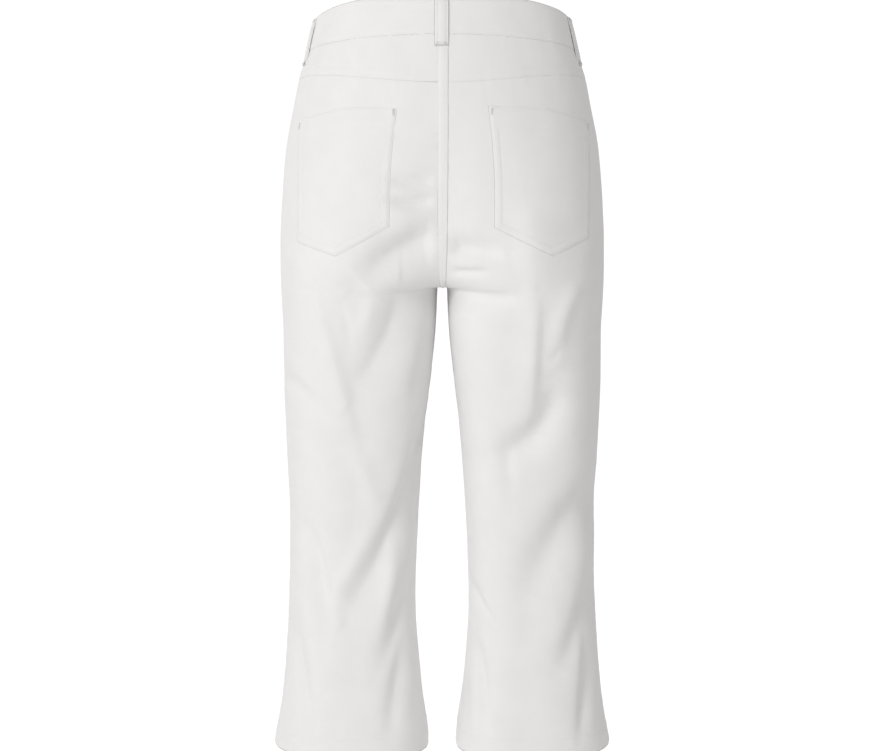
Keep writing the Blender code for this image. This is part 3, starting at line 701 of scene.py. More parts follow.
def front_lift(half, around, level):
    side = from_seam(0.5, around, level) * np.where(around > 0.5, -1, 1)
    inner = around * speed(0, level)
    seed = 31 + SIDES[half]
    lift = FELT_DIP * dip(BAND_SEAM - level) + dip(side) + inseam_share(level) * dip(inner)
    if half == "right":
        lift += (1 - inseam_share(level)) * dip(inner - fly_lap(level))
    else:
        above = (1 - inseam_share(level)) * smooth((inner + FLY_LAP) / MM)
        rise_rows = groove(inner, EDGE_STITCH - fly_lap(level)) + groove(inner, SECOND_STITCH)
        lift += above * faded(level - FLY_END, SEAM_CHANGE) * rise_rows
    lift += join_pucker(half, around, BAND_SEAM - level, BAND_SEED) + pucker(side, level, seed + 9)
    return lift + pucker(inner, level, seed + 7) + hem_lift(around, level, seed)


# ---- meshes ----
def rim_loop(rows, columns):
    """Grid indices of the border, in order, and of each one's neighbour inside it."""
    i, j = np.arange(rows - 1), np.arange(columns - 1)
    down, back = pairs(i, columns - 1), pairs(rows - 1, columns - 1 - j)
    loop = np.concatenate([pairs(0, j), down, back, pairs(rows - 1 - i, 0)])
    inside = np.clip(loop, [1, 1], [rows - 2, columns - 2])
    return tuple(loop.T), tuple(inside.T)


def tube(index):
    """Quads between neighbouring closed rings of point numbers, one ring a row."""
    after = np.roll(index, -1, axis=-1)
    quads = [index[..., :-1, :], after[..., :-1, :], after[..., 1:, :], index[..., 1:, :]]
    return np.stack(quads, axis=-1).reshape(-1, 4)


def new_object(name, points, faces, look, uv=None):
    mesh = bpy.data.meshes.new(name)
    mesh.from_pydata(points.tolist(), [], faces)
    if uv is not None:
        corners = np.empty(len(mesh.loops), np.int32)
        mesh.loops.foreach_get("vertex_index", corners)
        layer = mesh.uv_layers.new(name="cloth")
        layer.data.foreach_set("uv", uv[corners].astype(np.float32).ravel())
    mesh.shade_smooth()
    mesh.materials.append(look)
    obj = bpy.data.objects.new(name, mesh)
    bpy.context.scene.collection.objects.link(obj)
    return obj


def shell(name, points, normals, wall, look, uv):
    """Cloth between a grid of outer points and its copy wall deeper, with a rounded rim."""
    rows, columns = points.shape[:2]
    wall = np.broadcast_to(np.asarray(wall, float), (rows, columns))[..., None]
    inner = points - normals * wall
    loop, inside = rim_loop(rows, columns)
    edge, edge_normal, edge_wall = points[loop], normals[loop], wall[loop]
    beyond = edge - points[inside]
    beyond = unit(beyond - edge_normal * np.sum(beyond * edge_normal, axis=1, keepdims=True))
    middle = edge - edge_normal * edge_wall / 2
    rims = [
        middle + (edge_normal * np.cos(angle) + beyond * np.sin(angle)) * edge_wall / 2 for angle in RIM_ANGLES
    ]
    count = rows * columns
    index = np.arange(count).reshape(rows, columns)
    across = points[1:, :-1] - points[:-1, :-1], points[:-1, 1:] - points[:-1, :-1]
    turn = 1 if np.sum(np.cross(*across) * normals[:-1, :-1]) < 0 else -1
    quads = np.stack([index[:-1, :-1], index[1:, :-1], index[1:, 1:], index[:-1, 1:]], axis=-1)
    quads = quads.reshape(-1, 4)[:, ::-turn]
    border = index[loop]
    between = 2 * count + np.arange(len(rims) * len(border)).reshape(len(rims), -1)
    rim = tube(np.vstack([border, between, border + count]))[:, ::turn]
    faces = np.concatenate([quads, quads[:, ::-1] + count, rim])
    everything = np.concatenate([points.reshape(-1, 3), inner.reshape(-1, 3)] + rims)
    flat = uv.reshape(-1, 2)
    all_uv = np.concatenate([flat, flat] + [flat[border]] * len(rims))
    return new_object(name, everything, faces.tolist(), look, all_uv)


def cloth_uv(half, around, level):
    """Places on the flat cloth, in metres: across it and down it."""
    return pairs((around - 0.5) * HALF_GIRTH * SIDES[half], level)


def spaced(length, start, end):
    """Distances from 0 to length: the start's own, even cells, and the end's own, counted back."""
    first, last = start[-1], length - end[-1]
    even = np.linspace(first, last, max(round((last - first) / CELL), 1) + 1)
    return np.concatenate([start[:-1], even, length - end[-2::-1]])


def columns_between(level, face, side, centre):
    """Arounds of a panel's columns, given the distances of its first ones from the side and the centre seam.

    The columns between them keep their angle where they can. Those near the centre seam give way to it, so that
    they don't all swerve just above the crotch.
    """
    level = level[:, None]
    reach = ring(level)[2]
    seam = 0.5 + face / 2
    by_side = 2 * reach * side / speed(0.5, level)
    by_centre = reach - 2 * reach * centre / speed(seam, level)
    start, end = by_side[:, -1:], by_centre[:, :1]
    full = np.pi * (1 - 2 * centre[..., :1] / speed(seam, CROTCH - MM))
    give = full - end
    power = np.clip(0.5 + 0.5 * (full - start) / np.maximum(np.abs(give), LEAST), 1, GIVE_POWER)
    t = np.linspace(0, 1, PANEL_COLUMNS)[None, 1:-1]
    between = start + (full - start) * t - give * t ** power
    return 0.5 + face * np.concatenate([by_side, between, by_centre], axis=1) / (2 * reach)


def panel_grid(half, top, columns_of):
    """Arounds and levels of a panel's grid, from under its top neighbour to the hem."""
    side_top = top(0.5)
    above = 1 - spaced(side_top - CROTCH, FINE, np.array([0.0, CELL])) / (side_top - CROTCH)
    below = spaced(CROTCH - HEM, np.array([0.0, CELL]), HEM_ROWS)[1:] / (CROTCH - HEM)
    around = columns_of(half, CROTCH + np.concatenate([(side_top - CROTCH) * above, (HEM - CROTCH) * below]))
    seat, leg = np.split(np.abs(2 * np.clip(around, 0, 1) - 1) ** 3, [len(above)])
    level = CROTCH + np.vstack([
        (top(around) - CROTCH)[: len(above)] * above[:, None] ** (1 + SEAT_CROWDING * seat),
        (HEM - CROTCH) * below[:, None] ** (1 + LEG_CROWDING * leg),
    ])
    under = np.array([UNDER, UNDER / 2, MM])[:, None]
    return np.vstack([np.repeat(around[:1], 3, axis=0), around]), np.vstack([level[:1] + under, level])


# ---- stitches ----
def stitch_row(points, normals, pitch=STITCH_PITCH):
    """Stitches along a line on the cloth: centre, direction and normal of each."""
    steps = np.linalg.norm(np.diff(points, axis=0), axis=1)
    run = np.concatenate([[0], np.cumsum(steps)])
    count = max(int(run[-1] / pitch), 1)
    at = (np.arange(count) + 0.5) * run[-1] / count

    def along(values, places):
        return np.stack([np.interp(places, run, values[:, k]) for k in range(3)], axis=-1)

    direction = along(points, at + 0.2 * pitch) - along(points, at - 0.2 * pitch)
    return along(points, at), unit(direction), along(normals, at)


def bar_tack(centre, across, normal, width, length):
    """A dense row of stitches lying across a short line."""
    along = np.cross(normal, across)
    count = int(length / TACK_PITCH)
    places = (np.arange(count) - (count - 1) / 2)[:, None] * TACK_PITCH * along + centre
    return places, np.tile(across, (count, 1)), np.tile(normal, (count, 1)), width


def thread(name, rows, look, radius=THREAD_RADIUS):
    """One object of all stitches of these rows. A row may end with its stitches' own length."""
    points, faces, start = [], [], 0
    turn = turns(STITCH_SIDES)
    rings = len(STITCH_RINGS)
    for centre, direction, normal, *length in rows:
        half = (length[0] if length else STITCH_LENGTH) / 2
        side = unit(np.cross(direction, normal))
        spine = (
            centre[:, None] + direction[:, None] * (STITCH_RINGS * half)[:, None]
            + normal[:, None] * STITCH_HEIGHTS[:, None]
        )
        ring_points = spine[:, :, None] + radius * (
            side[:, None, None] * np.cos(turn)[:, None] + normal[:, None, None] * np.sin(turn)[:, None]
        )
        points.append(ring_points.reshape(-1, 3))
        index = start + np.arange(len(points[-1])).reshape(-1, rings, STITCH_SIDES)
        faces.append(tube(index))
        start += len(points[-1])
    return new_object(name, np.concatenate(points), np.concatenate(faces).tolist(), look)


def seam_row(half, around, level, lift_of):
    """A stitch row through arounds and levels on one panel."""
    return stitch_row(*surface(half, around, level, lift_of(half, around, level)))


# ---- materials ----
def node(tree, kind, **values):
    """A new node with these properties and input values."""
    made = tree.nodes.new(kind)
    for name, value in values.items():
        if hasattr(made, name):
            setattr(made, name, value)
        else:
            made.inputs[name.replace("_", " ")].default_value = value
    return made


def link(tree, *wires):
    """Wires from a node's output to a node's input, both by name or number."""
    for source, output, target, socket in wires:
        tree.links.new(source.outputs[output], target.inputs[socket])


def material(name, **values):
    """A new material with these input values on its shader, with its tree and shader."""
    made = bpy.data.materials.new(name)
    made.use_nodes = True
    shader = made.node_tree.nodes["Principled BSDF"]
    for socket, value in values.items():
        shader.inputs[socket.replace("_", " ")].default_value = value
    return made, made.node_tree, shader


def bumps(tree, target, *layers):
    """Chains bumps onto a shader: texture, strength and height in mm of each."""
    for texture, strength, height in layers:
        bump = node(tree, "ShaderNodeBump", Strength=strength, Distance=height * MM)
        link(tree, (texture, "Fac", bump, "Height"), (bump, "Normal", target, "Normal"))
        target = bump


def cloth_material(name, colour, twill_angle):
    """Cotton twill: fine diagonal ribs, uneven yarn and a faint mottle of colour."""
    made, tree, shader = material(
        name, Roughness=0.88, Specular_IOR_Level=0.25, Sheen_Weight=0.08, Sheen_Roughness=0.6
    )
    place = node(tree, "ShaderNodeUVMap", uv_map="cloth")
    turned = node(tree, "ShaderNodeMapping", Rotation=(0, 0, np.radians(twill_angle)))
    ribs = node(tree, "ShaderNodeTexWave", Scale=RIB_SCALE, Distortion=1.2, Detail=2.0, Detail_Scale=1.6)
    yarn = node(tree, "ShaderNodeTexNoise", Scale=1400.0, Detail=2.0)
    slub = node(tree, "ShaderNodeTexNoise", Scale=190.0, Detail=3.0)
    mottle = node(tree, "ShaderNodeTexNoise", Scale=38.0, Detail=3.0)
    tint = node(tree, "ShaderNodeMapRange", From_Min=0.3, From_Max=0.7)
    mix = node(tree, "ShaderNodeMix", data_type="RGBA")
    mix.inputs[6].default_value = (*(c * MOTTLE_SHADE for c in colour), 1)
    mix.inputs[7].default_value = (*colour, 1)
    link(
        tree, (turned, "Vector", ribs, "Vector"), (mottle, "Fac", tint, "Value"), (tint, "Result", mix, "Factor"),
        (mix, 2, shader, "Base Color"), *((place, "UV", each, "Vector") for each in (turned, yarn, slub, mottle)),
    )
    bumps(tree, shader, (ribs, 0.3, 0.05), (yarn, 0.2, 0.06), (slub, 0.15, 0.20))
    return made


def thread_material():
    made, tree, shader = material("white thread", Base_Color=(0.90, 0.89, 0.885, 1), Roughness=0.55)
    place = node(tree, "ShaderNodeTexCoord")
    twist = node(tree, "ShaderNodeTexNoise", Scale=2600.0, Detail=1.0)
    link(tree, (place, "Object", twist, "Vector"))
    bumps(tree, shader, (twist, 0.3, 0.05))
    return made


def metal_material():
    made, tree, shader = material("satin nickel", Base_Color=(0.62, 0.61, 0.58, 1), Metallic=1.0)
    place = node(tree, "ShaderNodeTexCoord")
    scuffs = node(tree, "ShaderNodeTexNoise", Scale=700.0, Detail=4.0)
    rough = node(tree, "ShaderNodeMapRange", To_Min=0.26, To_Max=0.42)
    link(
        tree, (place, "Object", scuffs, "Vector"), (scuffs, "Fac", rough, "Value"),
        (rough, "Result", shader, "Roughness"),
    )
    return made


WHITE = (0.92, 0.912, 0.909)
TWILL = cloth_material("white twill", WHITE, 63)
BAND_TWILL = cloth_material("white twill, cut across", WHITE, -27)
TAPE = cloth_material("zip tape weave", (0.83, 0.83, 0.82), 90)
THREAD = thread_material()
METAL = metal_material()

SHEETS = []


def declare(piece, flat, held, rests_on, trim, area=None):
    """Hangs a piece of cloth on the frame with its stitches or zip teeth, in place of its plain solid."""
    name = piece.name.removesuffix("_cloth")
    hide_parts(name)
    for each in (piece, trim):
        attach(each, "root")
    SHEETS.append((piece, flat, held, rests_on, area, [trim]))


# ---- the panels ----
def back_columns(half, level):
    return columns_between(level, 1, EDGE + FINE, (EDGE + FINE)[None, ::-1])


def front_columns(half, level):
    """From the centre, lapped or running under the left front, to under the back panel's side edge."""
    first = -UNDER + 0 * level[:, None]
    if half == "left":
        first = (EDGE - fly_lap(level) - inseam_share(level) * (UNDER + EDGE))[:, None]
    side = np.concatenate([[-UNDER, -UNDER / 2], FINE])
    return columns_between(level, -1, side, first + FINE[::-1])[:, ::-1]


def hem_wall(level):
    """The cloth's thickness: one ply, and three in the turned hem."""
    return WALL + HEM_WALL * faded(level - HEM - HEM_DEPTH, WIDE_STEP)


def panel(kind, half, around, level, lift_of, wall):
    """A panel's cloth. A back or yoke keeps to its half, and the left front's lap lies over the right front."""
    lift = lift_of(half, around, level)
    points, normals = surface(half, around, level, lift)
    if kind != "front":
        points[..., 0] = SIDES[half] * np.maximum(points[..., 0] * SIDES[half], EDGE)
    elif half == "left":
        lapped = ((around < 0) & (level > CROTCH))[..., None]
        points, normals = np.where(lapped, surface("right", np.abs(around), level, lift), (points, normals))
    return shell(f"{kind}_{half}_cloth", points, normals, wall, TWILL, cloth_uv(half, around, level))


def back_panel(half):
    around, level = panel_grid(half, yoke_seam, back_columns)
    return panel("back", half, around, level, back_lift, hem_wall(level))


def front_panel(half):
    around, level = panel_grid(half, lambda a: BAND_SEAM + 0 * np.asarray(a, float), front_columns)
    return panel("front", half, around, level, front_lift, hem_wall(level))


def yoke_panel(half):
    height = BAND_SEAM - YOKE_SIDE
    drops = spaced(height, FINE[:5], FINE[:10])
    share = np.concatenate([[-UNDER, -UNDER / 2], drops])[:, None] / height
    around = back_columns(half, BAND_SEAM - share[:, 0] * height)
    level = BAND_SEAM - share * (BAND_SEAM - yoke_seam(around) - EDGE)
    return panel("yoke", half, around, level, yoke_lift, WALL)


def band_top(half, around):
    """The level of the band's top edge, a little lower at the side seams."""
    return BAND_TOP - TOP_DROP[half] * np.cos(np.pi * (around - 0.5)) ** 4


def band_lift(half, around, level):
    """The band stands a little proud, with a stitch row along both edges."""
    top, bottom = band_top(half, around) - level, level - BAND_SEAM
    lift = BAND_PROUD + groove(top, BAND_STITCH) + groove(bottom, BAND_STITCH) + BAND_DROP * edge_drop(bottom)
    return lift + TOP_PUCKER * join_pucker(half, around, top, TOP_SEED) + join_pucker(half, around, bottom, BAND_SEED)


def band_course():
    """The band's columns, from its under end round to its over end: side, around, rise over the under end, run."""
    shares = np.linspace(0, 1, round(BAND_HALF_GIRTH / BAND_CELL) + 1)
    metres = speed(shares, (BAND_TOP + BAND_SEAM) / 2)
    run = np.concatenate([[0], np.cumsum((metres[1:] + metres[:-1]) / 2 * np.diff(shares))])
    tucked = (run > 0) & (run <= BAND_UNDERLAP)
    over = np.array([BAND_LAP_START, FLY_LAP - EDGE])
    above = BAND_WALL + BAND_LAP_GAP
    left, left_run = shares[-2::-1], run[-2::-1]
    rise = above * faded(left_run - BAND_UNDERLAP, LAP_RISE)
    counts = tucked.sum(), len(shares), len(left), 2
    side = np.repeat([1, -1, 1, -1], counts)
    around = np.concatenate([shares[tucked][::-1], shares, left, over / metres[0]])
    rise = np.concatenate([np.zeros(counts[0] + counts[1]), rise, [above, above]])
    return side, around, rise, np.concatenate([-run[tucked][::-1], run, 2 * run[-1] - left_run, 2 * run[-1] + over])


BAND_SIDE, BAND_AROUND, BAND_RISE, BAND_RUN = band_course()


def band_surface(drops):
    """The band's points and normals in rows, these distances below its top edge."""
    share = np.asarray(drops, float)[:, None] / (BAND_TOP - BAND_SEAM)
    both = []
    for half in SIDES:
        top = band_top(half, BAND_AROUND)
        level = top + share * (BAND_SEAM - top)
        both.append(surface(half, BAND_AROUND, level, BAND_RISE + band_lift(half, BAND_AROUND, level)))
    return np.where((BAND_SIDE > 0)[:, None], *both)


def waistband():
    drops = spaced(BAND_TOP - BAND_SEAM, EDGE + FINE[:6], EDGE + FINE[:6])
    return shell("waistband_cloth", *band_surface(drops), BAND_WALL, BAND_TWILL, pairs(BAND_RUN, -drops[:, None]))


def band_row(drop):
    """A stitch row along the band, drop metres below its top edge."""
    points, normals = band_surface([drop])
    return stitch_row(points[0], normals[0])


def across_centre(seam, level, offsets, lift):
    """A strip along a centre seam (around 0 or 1): offsets across it, positive to the left."""
    columns = []
    for d in offsets:
        halves = [half for half in SIDES if d * SIDES[half] >= 0]
        both = [surface(half, np.abs(seam - abs(d) / speed(seam, level)), level, lift(d, level)) for half in halves]
        points, normals = (sum(part) for part in zip(*both))
        points /= len(both)
        if d == 0:
            points[..., 0] = 0
        columns.append((points, unit(normals)))
    return grid(columns)


def fell_lift(d, level):
    """The felled centre seam: a folded edge on its right, and only a stitch row where it runs out on its left."""
    rows = groove(abs(d), FELL_HALF - EDGE_STITCH)
    top = FELL_TOP * smooth((FELL_HALF - d) / FELL_RUNOUT) - FELL_SINK
    return top + rows + FELL_PUCKER * pucker(FELL_HALF - abs(d), level, 71 + np.sign(d))


def seat_levels(top, low):
    share = np.linspace(1, 0, round((top - low) / SEAT_CELL) + 1)
    return low + (top - low) * share ** (1 + SEAT_CROWDING)


def seat_fell():
    level = seat_levels(BAND_SEAM - EDGE, CROTCH + 0.6 * MM)
    offsets = mirrored(FELL_PLACES)
    strip = across_centre(1.0, level, offsets, fell_lift)
    return shell("seat_fell_cloth", *strip, FELL_WALL, TWILL, pairs(offsets, level[:, None]))


def fell_stitches():
    """A row along both edges of the felled centre seam."""
    level = seat_levels(BAND_SEAM - ROW_END, CROTCH + ROW_END)
    edge = FELL_HALF - EDGE_STITCH
    strips = [across_centre(1.0, level, [d], fell_lift) for d in (edge, -edge)]
    rows = [stitch_row(points[:, 0], normals[:, 0]) for points, normals in strips]
    return thread("seat_fell_stitches", rows, THREAD)


# ---- pockets ----
def pocket_tip(half):
    """The u of the pocket's tip."""
    inner, tip, outer = (POCKET_CORNERS[half][name][0] for name in ("inner_foot", "tip", "outer_foot"))
    return (tip - inner) / (outer - inner)


def pocket_outline(half, u, v):
    """x and z on the back, in metres, of the pocket's point u across from its inner edge and v down."""
    corner = {name: np.array(place, float) for name, place in POCKET_CORNERS[half].items()}
    share = pocket_tip(half)
    u, v = u[..., None], v[..., None]
    top = corner["inner_top"] * (1 - u) + corner["outer_top"] * u
    before = corner["inner_foot"] + (corner["tip"] - corner["inner_foot"]) * u / share
    after = corner["tip"] + (corner["outer_foot"] - corner["tip"]) * (u - share) / (1 - share)
    top[..., 1:2] += POCKET_TOP_BOW * np.sin(np.pi * u ** POCKET_TOP_SKEW)
    place = top * (1 - v) + np.where(u < share, before, after) * v
    place[..., 0:1] += POCKET_BOW * np.sin(np.pi * v) * (1 - u) ** 2
    return place[..., 0] * MM, place[..., 1] * MM


def pocket_edges(half, u, v):
    """Distances in metres to the pocket's top, its sides and its foot."""
    x, z = pocket_outline(half, u, v)
    top, foot = (pocket_outline(half, u, 0 * v + end)[1] for end in (0, 1))
    inner, outer = (pocket_outline(half, 0 * u + end, v)[0] for end in (0, 1))
    stretch = 1 / np.maximum(np.cos(x / POCKET_ROUND), LEAST_COSINE)
    return top - z, np.minimum(x - inner, (outer - x) * stretch), z - foot


def pocket_lift(half, u, v):
    top, side, foot = pocket_edges(half, u, v)
    border = np.minimum(side, foot * FOOT_SHARE)
    seed = 81 + SIDES[half]
    x, z = pocket_outline(half, u, v)
    turned = POCKET_TURNED * faded(border - FELL_WIDTH + WIDE_STEP, WIDE_STEP)
    hem = POCKET_HEM_PLY * faded(top - POCKET_HEM, PLY_STEP)
    rows = groove(border, EDGE_STITCH) + groove(border, SECOND_STITCH) * smooth((top - POCKET_HEM) / MM)
    rows = rows + groove(top, EDGE_STITCH + MM) + groove(top, POCKET_HEM)
    billow = POCKET_BILLOW * smooth(border / BILLOW_REACH) * smooth(top / BILLOW_REACH)
    ripples = pucker(side, z, seed) + pucker(foot, x, seed + 3) + TOP_RIPPLES * pucker(top, x, seed + 5)
    ripples *= EDGE_RIPPLES + (1 - EDGE_RIPPLES) * smooth(np.minimum(border, top) / RIPPLES_REACH)
    sunk = np.minimum(POCKET_EDGE * edge_drop(border), POCKET_TOP_EDGE * edge_drop(top))
    return POCKET_LIFT + np.maximum(turned, hem) + rows + billow + ripples + sunk


def pocket_surface(half, u, v, lift=0.0):
    around, level = back_place(*pocket_outline(half, u, v))
    return surface(half, around, level, pocket_lift(half, u, v) + lift), cloth_uv(half, around, level)


def pocket(half):
    u = spaced(POCKET_WIDE, FINE, FINE) / POCKET_WIDE
    tip = pocket_tip(half)
    u[np.argmin(np.abs(u - tip))] = tip
    v = spaced(POCKET_HIGH, np.concatenate([FINE, POCKET_HEM_ROWS]), FINE) / POCKET_HIGH
    grid_of, uv = pocket_surface(half, *np.meshgrid(u, v))
    return shell(f"back_pocket_{half}_cloth", *grid_of, WALL, TWILL, uv)


def pocket_stitches(half):
    """Two rows round the sides and foot, two along the top hem, and a bar tack at both top corners."""
    t = np.linspace(0, 1, 60)
    lines = []
    for inset, start in ((EDGE_STITCH, POCKET_END), (SECOND_STITCH, POCKET_HEM / POCKET_HIGH)):
        a, b = inset / POCKET_WIDE, 1 - inset / (POCKET_STRETCH * POCKET_WIDE)
        low = 1 - inset / POCKET_SIDE
        lines += [(a + 0 * t, start + (low - start) * t), (a + (b - a) * t, low + 0 * t)]
        lines.append((b + 0 * t, low + (start - low) * t))
    for drop in (EDGE_STITCH + MM, POCKET_HEM):
        lines.append((POCKET_END + (1 - 2 * POCKET_END) * t, drop / POCKET_SIDE + 0 * t))
    rows = [stitch_row(*pocket_surface(half, u, v)[0]) for u, v in lines]
    for at in TACKS_ACROSS:
        points, normals = pocket_surface(half, np.array([at, at + 0.01]), np.full(2, TACKS_DOWN), TACKS_LIFT)[0]
        rows.append(bar_tack(points[0], unit(points[1] - points[0]), normals[0], *POCKET_TACK))
    return thread(f"back_pocket_{half}_stitches", rows, THREAD)


# ---- belt loops ----
def loop_frame(half, angle):
    """The loop's lowest and highest level, and a function: its surface at a place across, a level and a lift."""
    levels, side_gaps, back_gaps = np.array(LOOP_PROFILE).T * MM
    if angle == CENTRE_BACK:
        levels, gaps = levels[1:], back_gaps[1:]
    else:
        gaps = side_gaps
        levels = levels - (levels - levels[0]) / np.ptp(levels) * (BAND_TOP - band_top(half, 0.5))
    gaps = gaps + LOOP_GAP
    slopes = hermite_slopes(levels, gaps)

    def at(across, level, lift=0.0):
        height = cubic(levels, gaps, slopes, level) + LOOP_WALL + lift
        if angle == CENTRE_BACK:
            across = across + BACK_LOOP_OFFSET
            side = "left" if across > 0 else "right"
            return surface(side, 1 - np.abs(across) / speed(1.0, level), level, height)
        middle = around_at(angle, level)
        return surface(half, middle + across / speed(middle, level), level, height)

    return levels[0], levels[-1], at


def belt_loop(name, half, angle):
    low, high, at = loop_frame(half, angle)
    level = np.linspace(high - LOOP_END, low + LOOP_END, LOOP_ROWS)
    across = mirrored(LOOP_PLACES, middle=())
    columns = []
    for d in across:
        crown = LOOP_ARCH * (np.cos(d / LOOP_WIDTH * np.pi) - 0.5) + groove(abs(d), LOOP_STITCH)
        columns.append(at(d, level, crown + LOOP_NOISE * noise(level / LOOP_CELL[0], d / LOOP_CELL[1])))
    return shell(name + "_cloth", *grid(columns), LOOP_WALL, TWILL, pairs(across, level[:, None]))


def loop_stitches(name, half, angle):
    """Two rows down the loop and a bar tack over each end."""
    low, high, at = loop_frame(half, angle)
    level = np.linspace(high - LOOP_ROW_END, low + LOOP_ROW_END, 30)
    rows = [stitch_row(*at(d, level, LOOP_ROW_LIFT)) for d in (-LOOP_STITCH, LOOP_STITCH)]
    for place in (low + LOOP_TACK_END, high - LOOP_TACK_END):
        points, normals = grid([at(d, np.array([place]), LOOP_TACK_LIFT) for d in (-0.8 * MM, 0.8 * MM)])
        across = unit(points[0, 1] - points[0, 0])
        rows.append(bar_tack(points[0].mean(axis=0), across, unit(normals[0].sum(axis=0)), *LOOP_TACK))
    return thread(name + "_stitches", rows, THREAD)


# ---- fly ----
def zip_strip():
    level = np.linspace(*ZIP_SPAN)
    offsets = mirrored(TAPE_PLACES)
    points, normals = across_centre(0.0, level, offsets, lambda d, level: -WALL - UNDER_DIP - TAPE_GAP)
    tape = shell("zip_tape_cloth", points, normals, TAPE_WALL, TAPE, pairs(offsets, level[:, None]))
    spine, out = points[:, len(TAPE_PLACES)], normals[:, len(TAPE_PLACES)]
    centre, direction, normal = stitch_row(spine - out * TOOTH_DEPTH, -out, TOOTH_PITCH)
    rows = [(centre, np.cross(direction, normal), normal, TOOTH_WIDTH)]
    return tape, thread("zip_teeth", rows, METAL, TOOTH_RADIUS)


def fly_stitches():
    """Two rows that run down the left front beside the fly and curve in to its end."""
    level = np.linspace(*FLY_SPAN)
    turn = faded(level - FLY_END, FLY_CURVE)
    rows = []
    for inset in FLY_ROWS:
        across = inset * np.sqrt(np.clip(1 - turn ** 2, 0, 1)) + ROW_END
        rows.append(seam_row("left", across / speed(0.0, level), level, front_lift))
    return rows


def button():
    """A shank button: a dished face with a raised rim, on a short post. Its place and directions follow it."""
    level = (BAND_TOP + BAND_SEAM) / 2
    point, normal = surface("left", BUTTON_OFFSET / speed(0.0, level), level, BAND_WALL + BUTTON_GAP)
    up = unit(np.array([0.0, 0.0, 1.0]) - normal * normal[2])
    side = np.cross(up, normal)
    points = [
        point + normal * h * MM + r * MM * (side * np.cos(a) + up * np.sin(a))
        for r, h in BUTTON_PROFILE for a in turns(BUTTON_SIDES)
    ]
    quads = tube(np.arange(len(points)).reshape(-1, BUTTON_SIDES))
    obj = new_object("waist_button_metal", np.array(points), quads.tolist(), METAL)
    return obj, point, normal, side


def buttonhole(point, normal, side):
    """A close ring of stitches round the slit that the button has come through."""
    angle = turns(HOLE_STITCHES)[:, None]
    along, up = side * np.cos(angle), np.cross(normal, side) * np.sin(angle)
    places = point - normal * HOLE_SINK + side * np.sign(np.cos(angle)) * HOLE_STRAIGHT
    places = places + along * HOLE_BEND + up * HOLE_OPEN
    return places, along + up, np.tile(normal, (HOLE_STITCHES, 1)), HOLE_STITCH


# ---- floor, light, camera ----
def aimed(data, place, target):
    """Puts a light or camera in the scene, facing a point."""
    obj = bpy.data.objects.new(data.name, data)
    obj.location = place
    obj.rotation_euler = (Vector(target) - obj.location).to_track_quat("-Z", "Y").to_euler()
    bpy.context.scene.collection.objects.link(obj)
    return obj


def seen_brighter(tree, plain, bright, share, end):
    """Gives what the camera sees directly this share of a brighter look."""
    seen = node(tree, "ShaderNodeLightPath")
    amount = node(tree, "ShaderNodeMath", operation="MULTIPLY")
    amount.inputs[1].default_value = share
    either = node(tree, "ShaderNodeMixShader")
    link(
        tree, (seen, "Is Camera Ray", amount, 0), (amount, "Value", either, "Fac"), (plain, 0, either, 1),
        (bright, 0, either, 2), (either, "Shader", tree.nodes[end], "Surface"),
    )


def studio():
    scene = bpy.context.scene
    scene.view_settings.view_transform = "Standard"
    scene.world = bpy.data.worlds.new("studio")
    scene.world.use_nodes = True
    tree = scene.world.node_tree
    soft = tree.nodes["Background"]
    soft.inputs["Color"].default_value = (*WORLD_COLOUR, 1)
    soft.inputs["Strength"].default_value = WORLD_STRENGTH
    seen_brighter(tree, soft, node(tree, "ShaderNodeBackground", Color=(1, 1, 1, 1)), 1, "World Output")
    for name, place, size, watts, colour in LIGHTS:
        light = bpy.data.lights.new(name, "AREA")
        light.shape = "DISK"
        light.size = size
        light.energy = watts
        light.color = colour
        aimed(light, place, AIM)
    camera = bpy.data.cameras.new("camera")
    camera.lens = CAMERA_LENS
    camera.clip_end = CAMERA_REACH
    scene.camera = aimed(camera, CAMERA_AT, CAMERA_AIM)


def floor():
    made, tree, shader = material("pale floor", Base_Color=(*FLOOR_COLOUR, 1), Roughness=0.9)
    glow = node(tree, "ShaderNodeEmission", Strength=FLOOR_GLOW)
    seen_brighter(tree, shader, glow, FLOOR_GLOW_SHARE, "Material Output")
    reach = FLOOR_SIZE / 2
    corners = np.array([(x * reach, y * reach, FLOOR_LEVEL) for x, y in ((-1, -1), (1, -1), (1, 1), (-1, 1))])
    new_object("floor", corners, [[0, 1, 2, 3]], made)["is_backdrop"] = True


# ---- the garment ----
studio()
floor()

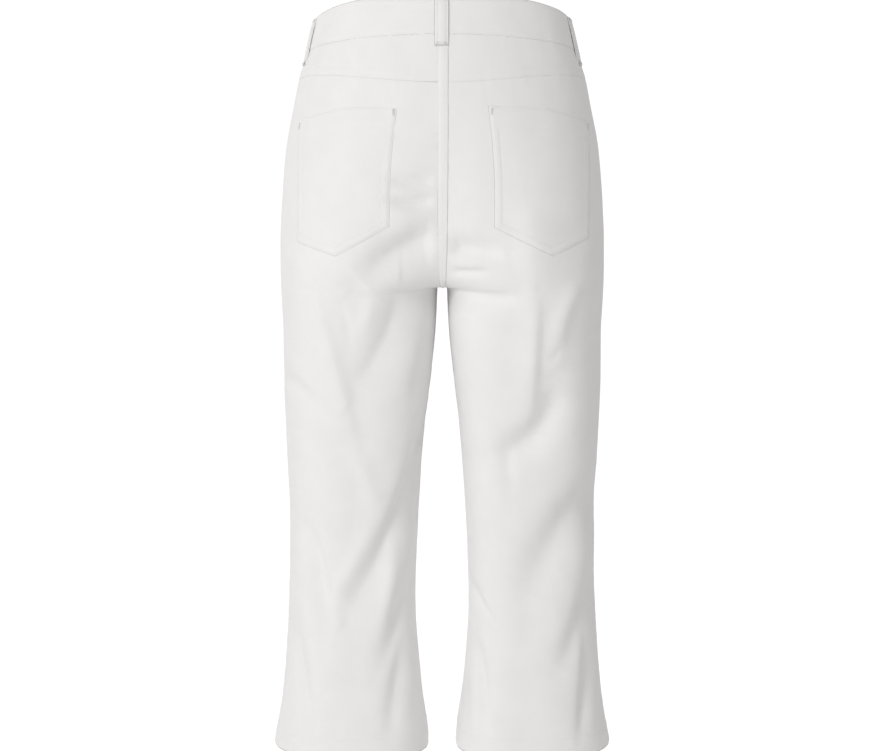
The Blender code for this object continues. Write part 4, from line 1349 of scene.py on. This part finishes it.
for half in SIDES:
    around, level = np.linspace(*HEM_SPAN), np.linspace(*INSEAM_SPAN)
    rows = [seam_row(half, 1 - d / speed(1.0, level), level, back_lift) for d in FELL_ROWS]
    rows.append(seam_row(half, around, HEM + HEM_DEPTH, back_lift))
    trim = thread(f"back_{half}_stitches", rows, THREAD)
    declare(back_panel(half), (0.312, 0.811), "hung", [f"yoke_{half}_cloth"], trim, area=0.185)
    around = np.linspace(*YOKE_SPAN)
    rows = [seam_row(half, around, yoke_seam(around) + d, yoke_lift) for d in FELL_ROWS]
    trim = thread(f"yoke_{half}_stitches", rows, THREAD)
    declare(yoke_panel(half), (0.207, 0.059), "hung", ["waistband_cloth"], trim, area=0.0094)
    rows = [seam_row(half, np.linspace(*HEM_SPAN) - 0.5, HEM + HEM_DEPTH, front_lift)]
    if half == "left":
        level = np.linspace(*RISE_SPAN)
        rows += [seam_row(half, d / speed(0.0, level), level, front_lift) for d in FELL_ROWS]
        rows += fly_stitches()
    trim = thread(f"front_{half}_stitches", rows, THREAD)
    declare(front_panel(half), (0.32, 0.799), "hung", ["waistband_cloth"], trim, area=0.192)
    piece, trim = pocket(half), pocket_stitches(half)
    declare(piece, (0.134, 0.152), "laid", [f"back_{half}_cloth"], trim, area=0.0166)

rows = [band_row(BAND_STITCH), band_row(BAND_TOP - BAND_SEAM - BAND_STITCH)]
trim = thread("waistband_stitches", rows, THREAD)
declare(waistband(), (0.81, 0.038), "stretched", [], trim)
backs = [f"back_{half}_cloth" for half in SIDES]
declare(seat_fell(), (0.011, 0.32), "laid", backs, fell_stitches())
for name, half, angle, cut in LOOPS:
    piece, trim = belt_loop(name, half, angle), loop_stitches(name, half, angle)
    declare(piece, (0.014, cut), "folded", ["waistband_cloth"], trim)
tape, teeth = zip_strip()
declare(tape, (0.026, 0.11), "hung", ["front_left_cloth"], teeth)

knob, *knob_place = button()
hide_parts("waist_button")
hole = thread("buttonhole_stitches", [buttonhole(*knob_place)], THREAD)
for piece, slot in ((knob, "metal"), (hole, "twill_doubled")):
    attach(piece, "root")

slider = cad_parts["zip_slider"]
slider.data.materials.clear()
slider.data.materials.append(METAL)

for piece, flat, held, rests_on, area, with_pieces in SHEETS:
    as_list(rests_on)
    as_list(with_pieces)

[[list(corner) for corner in box] for box in (CAD_BOX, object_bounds())]
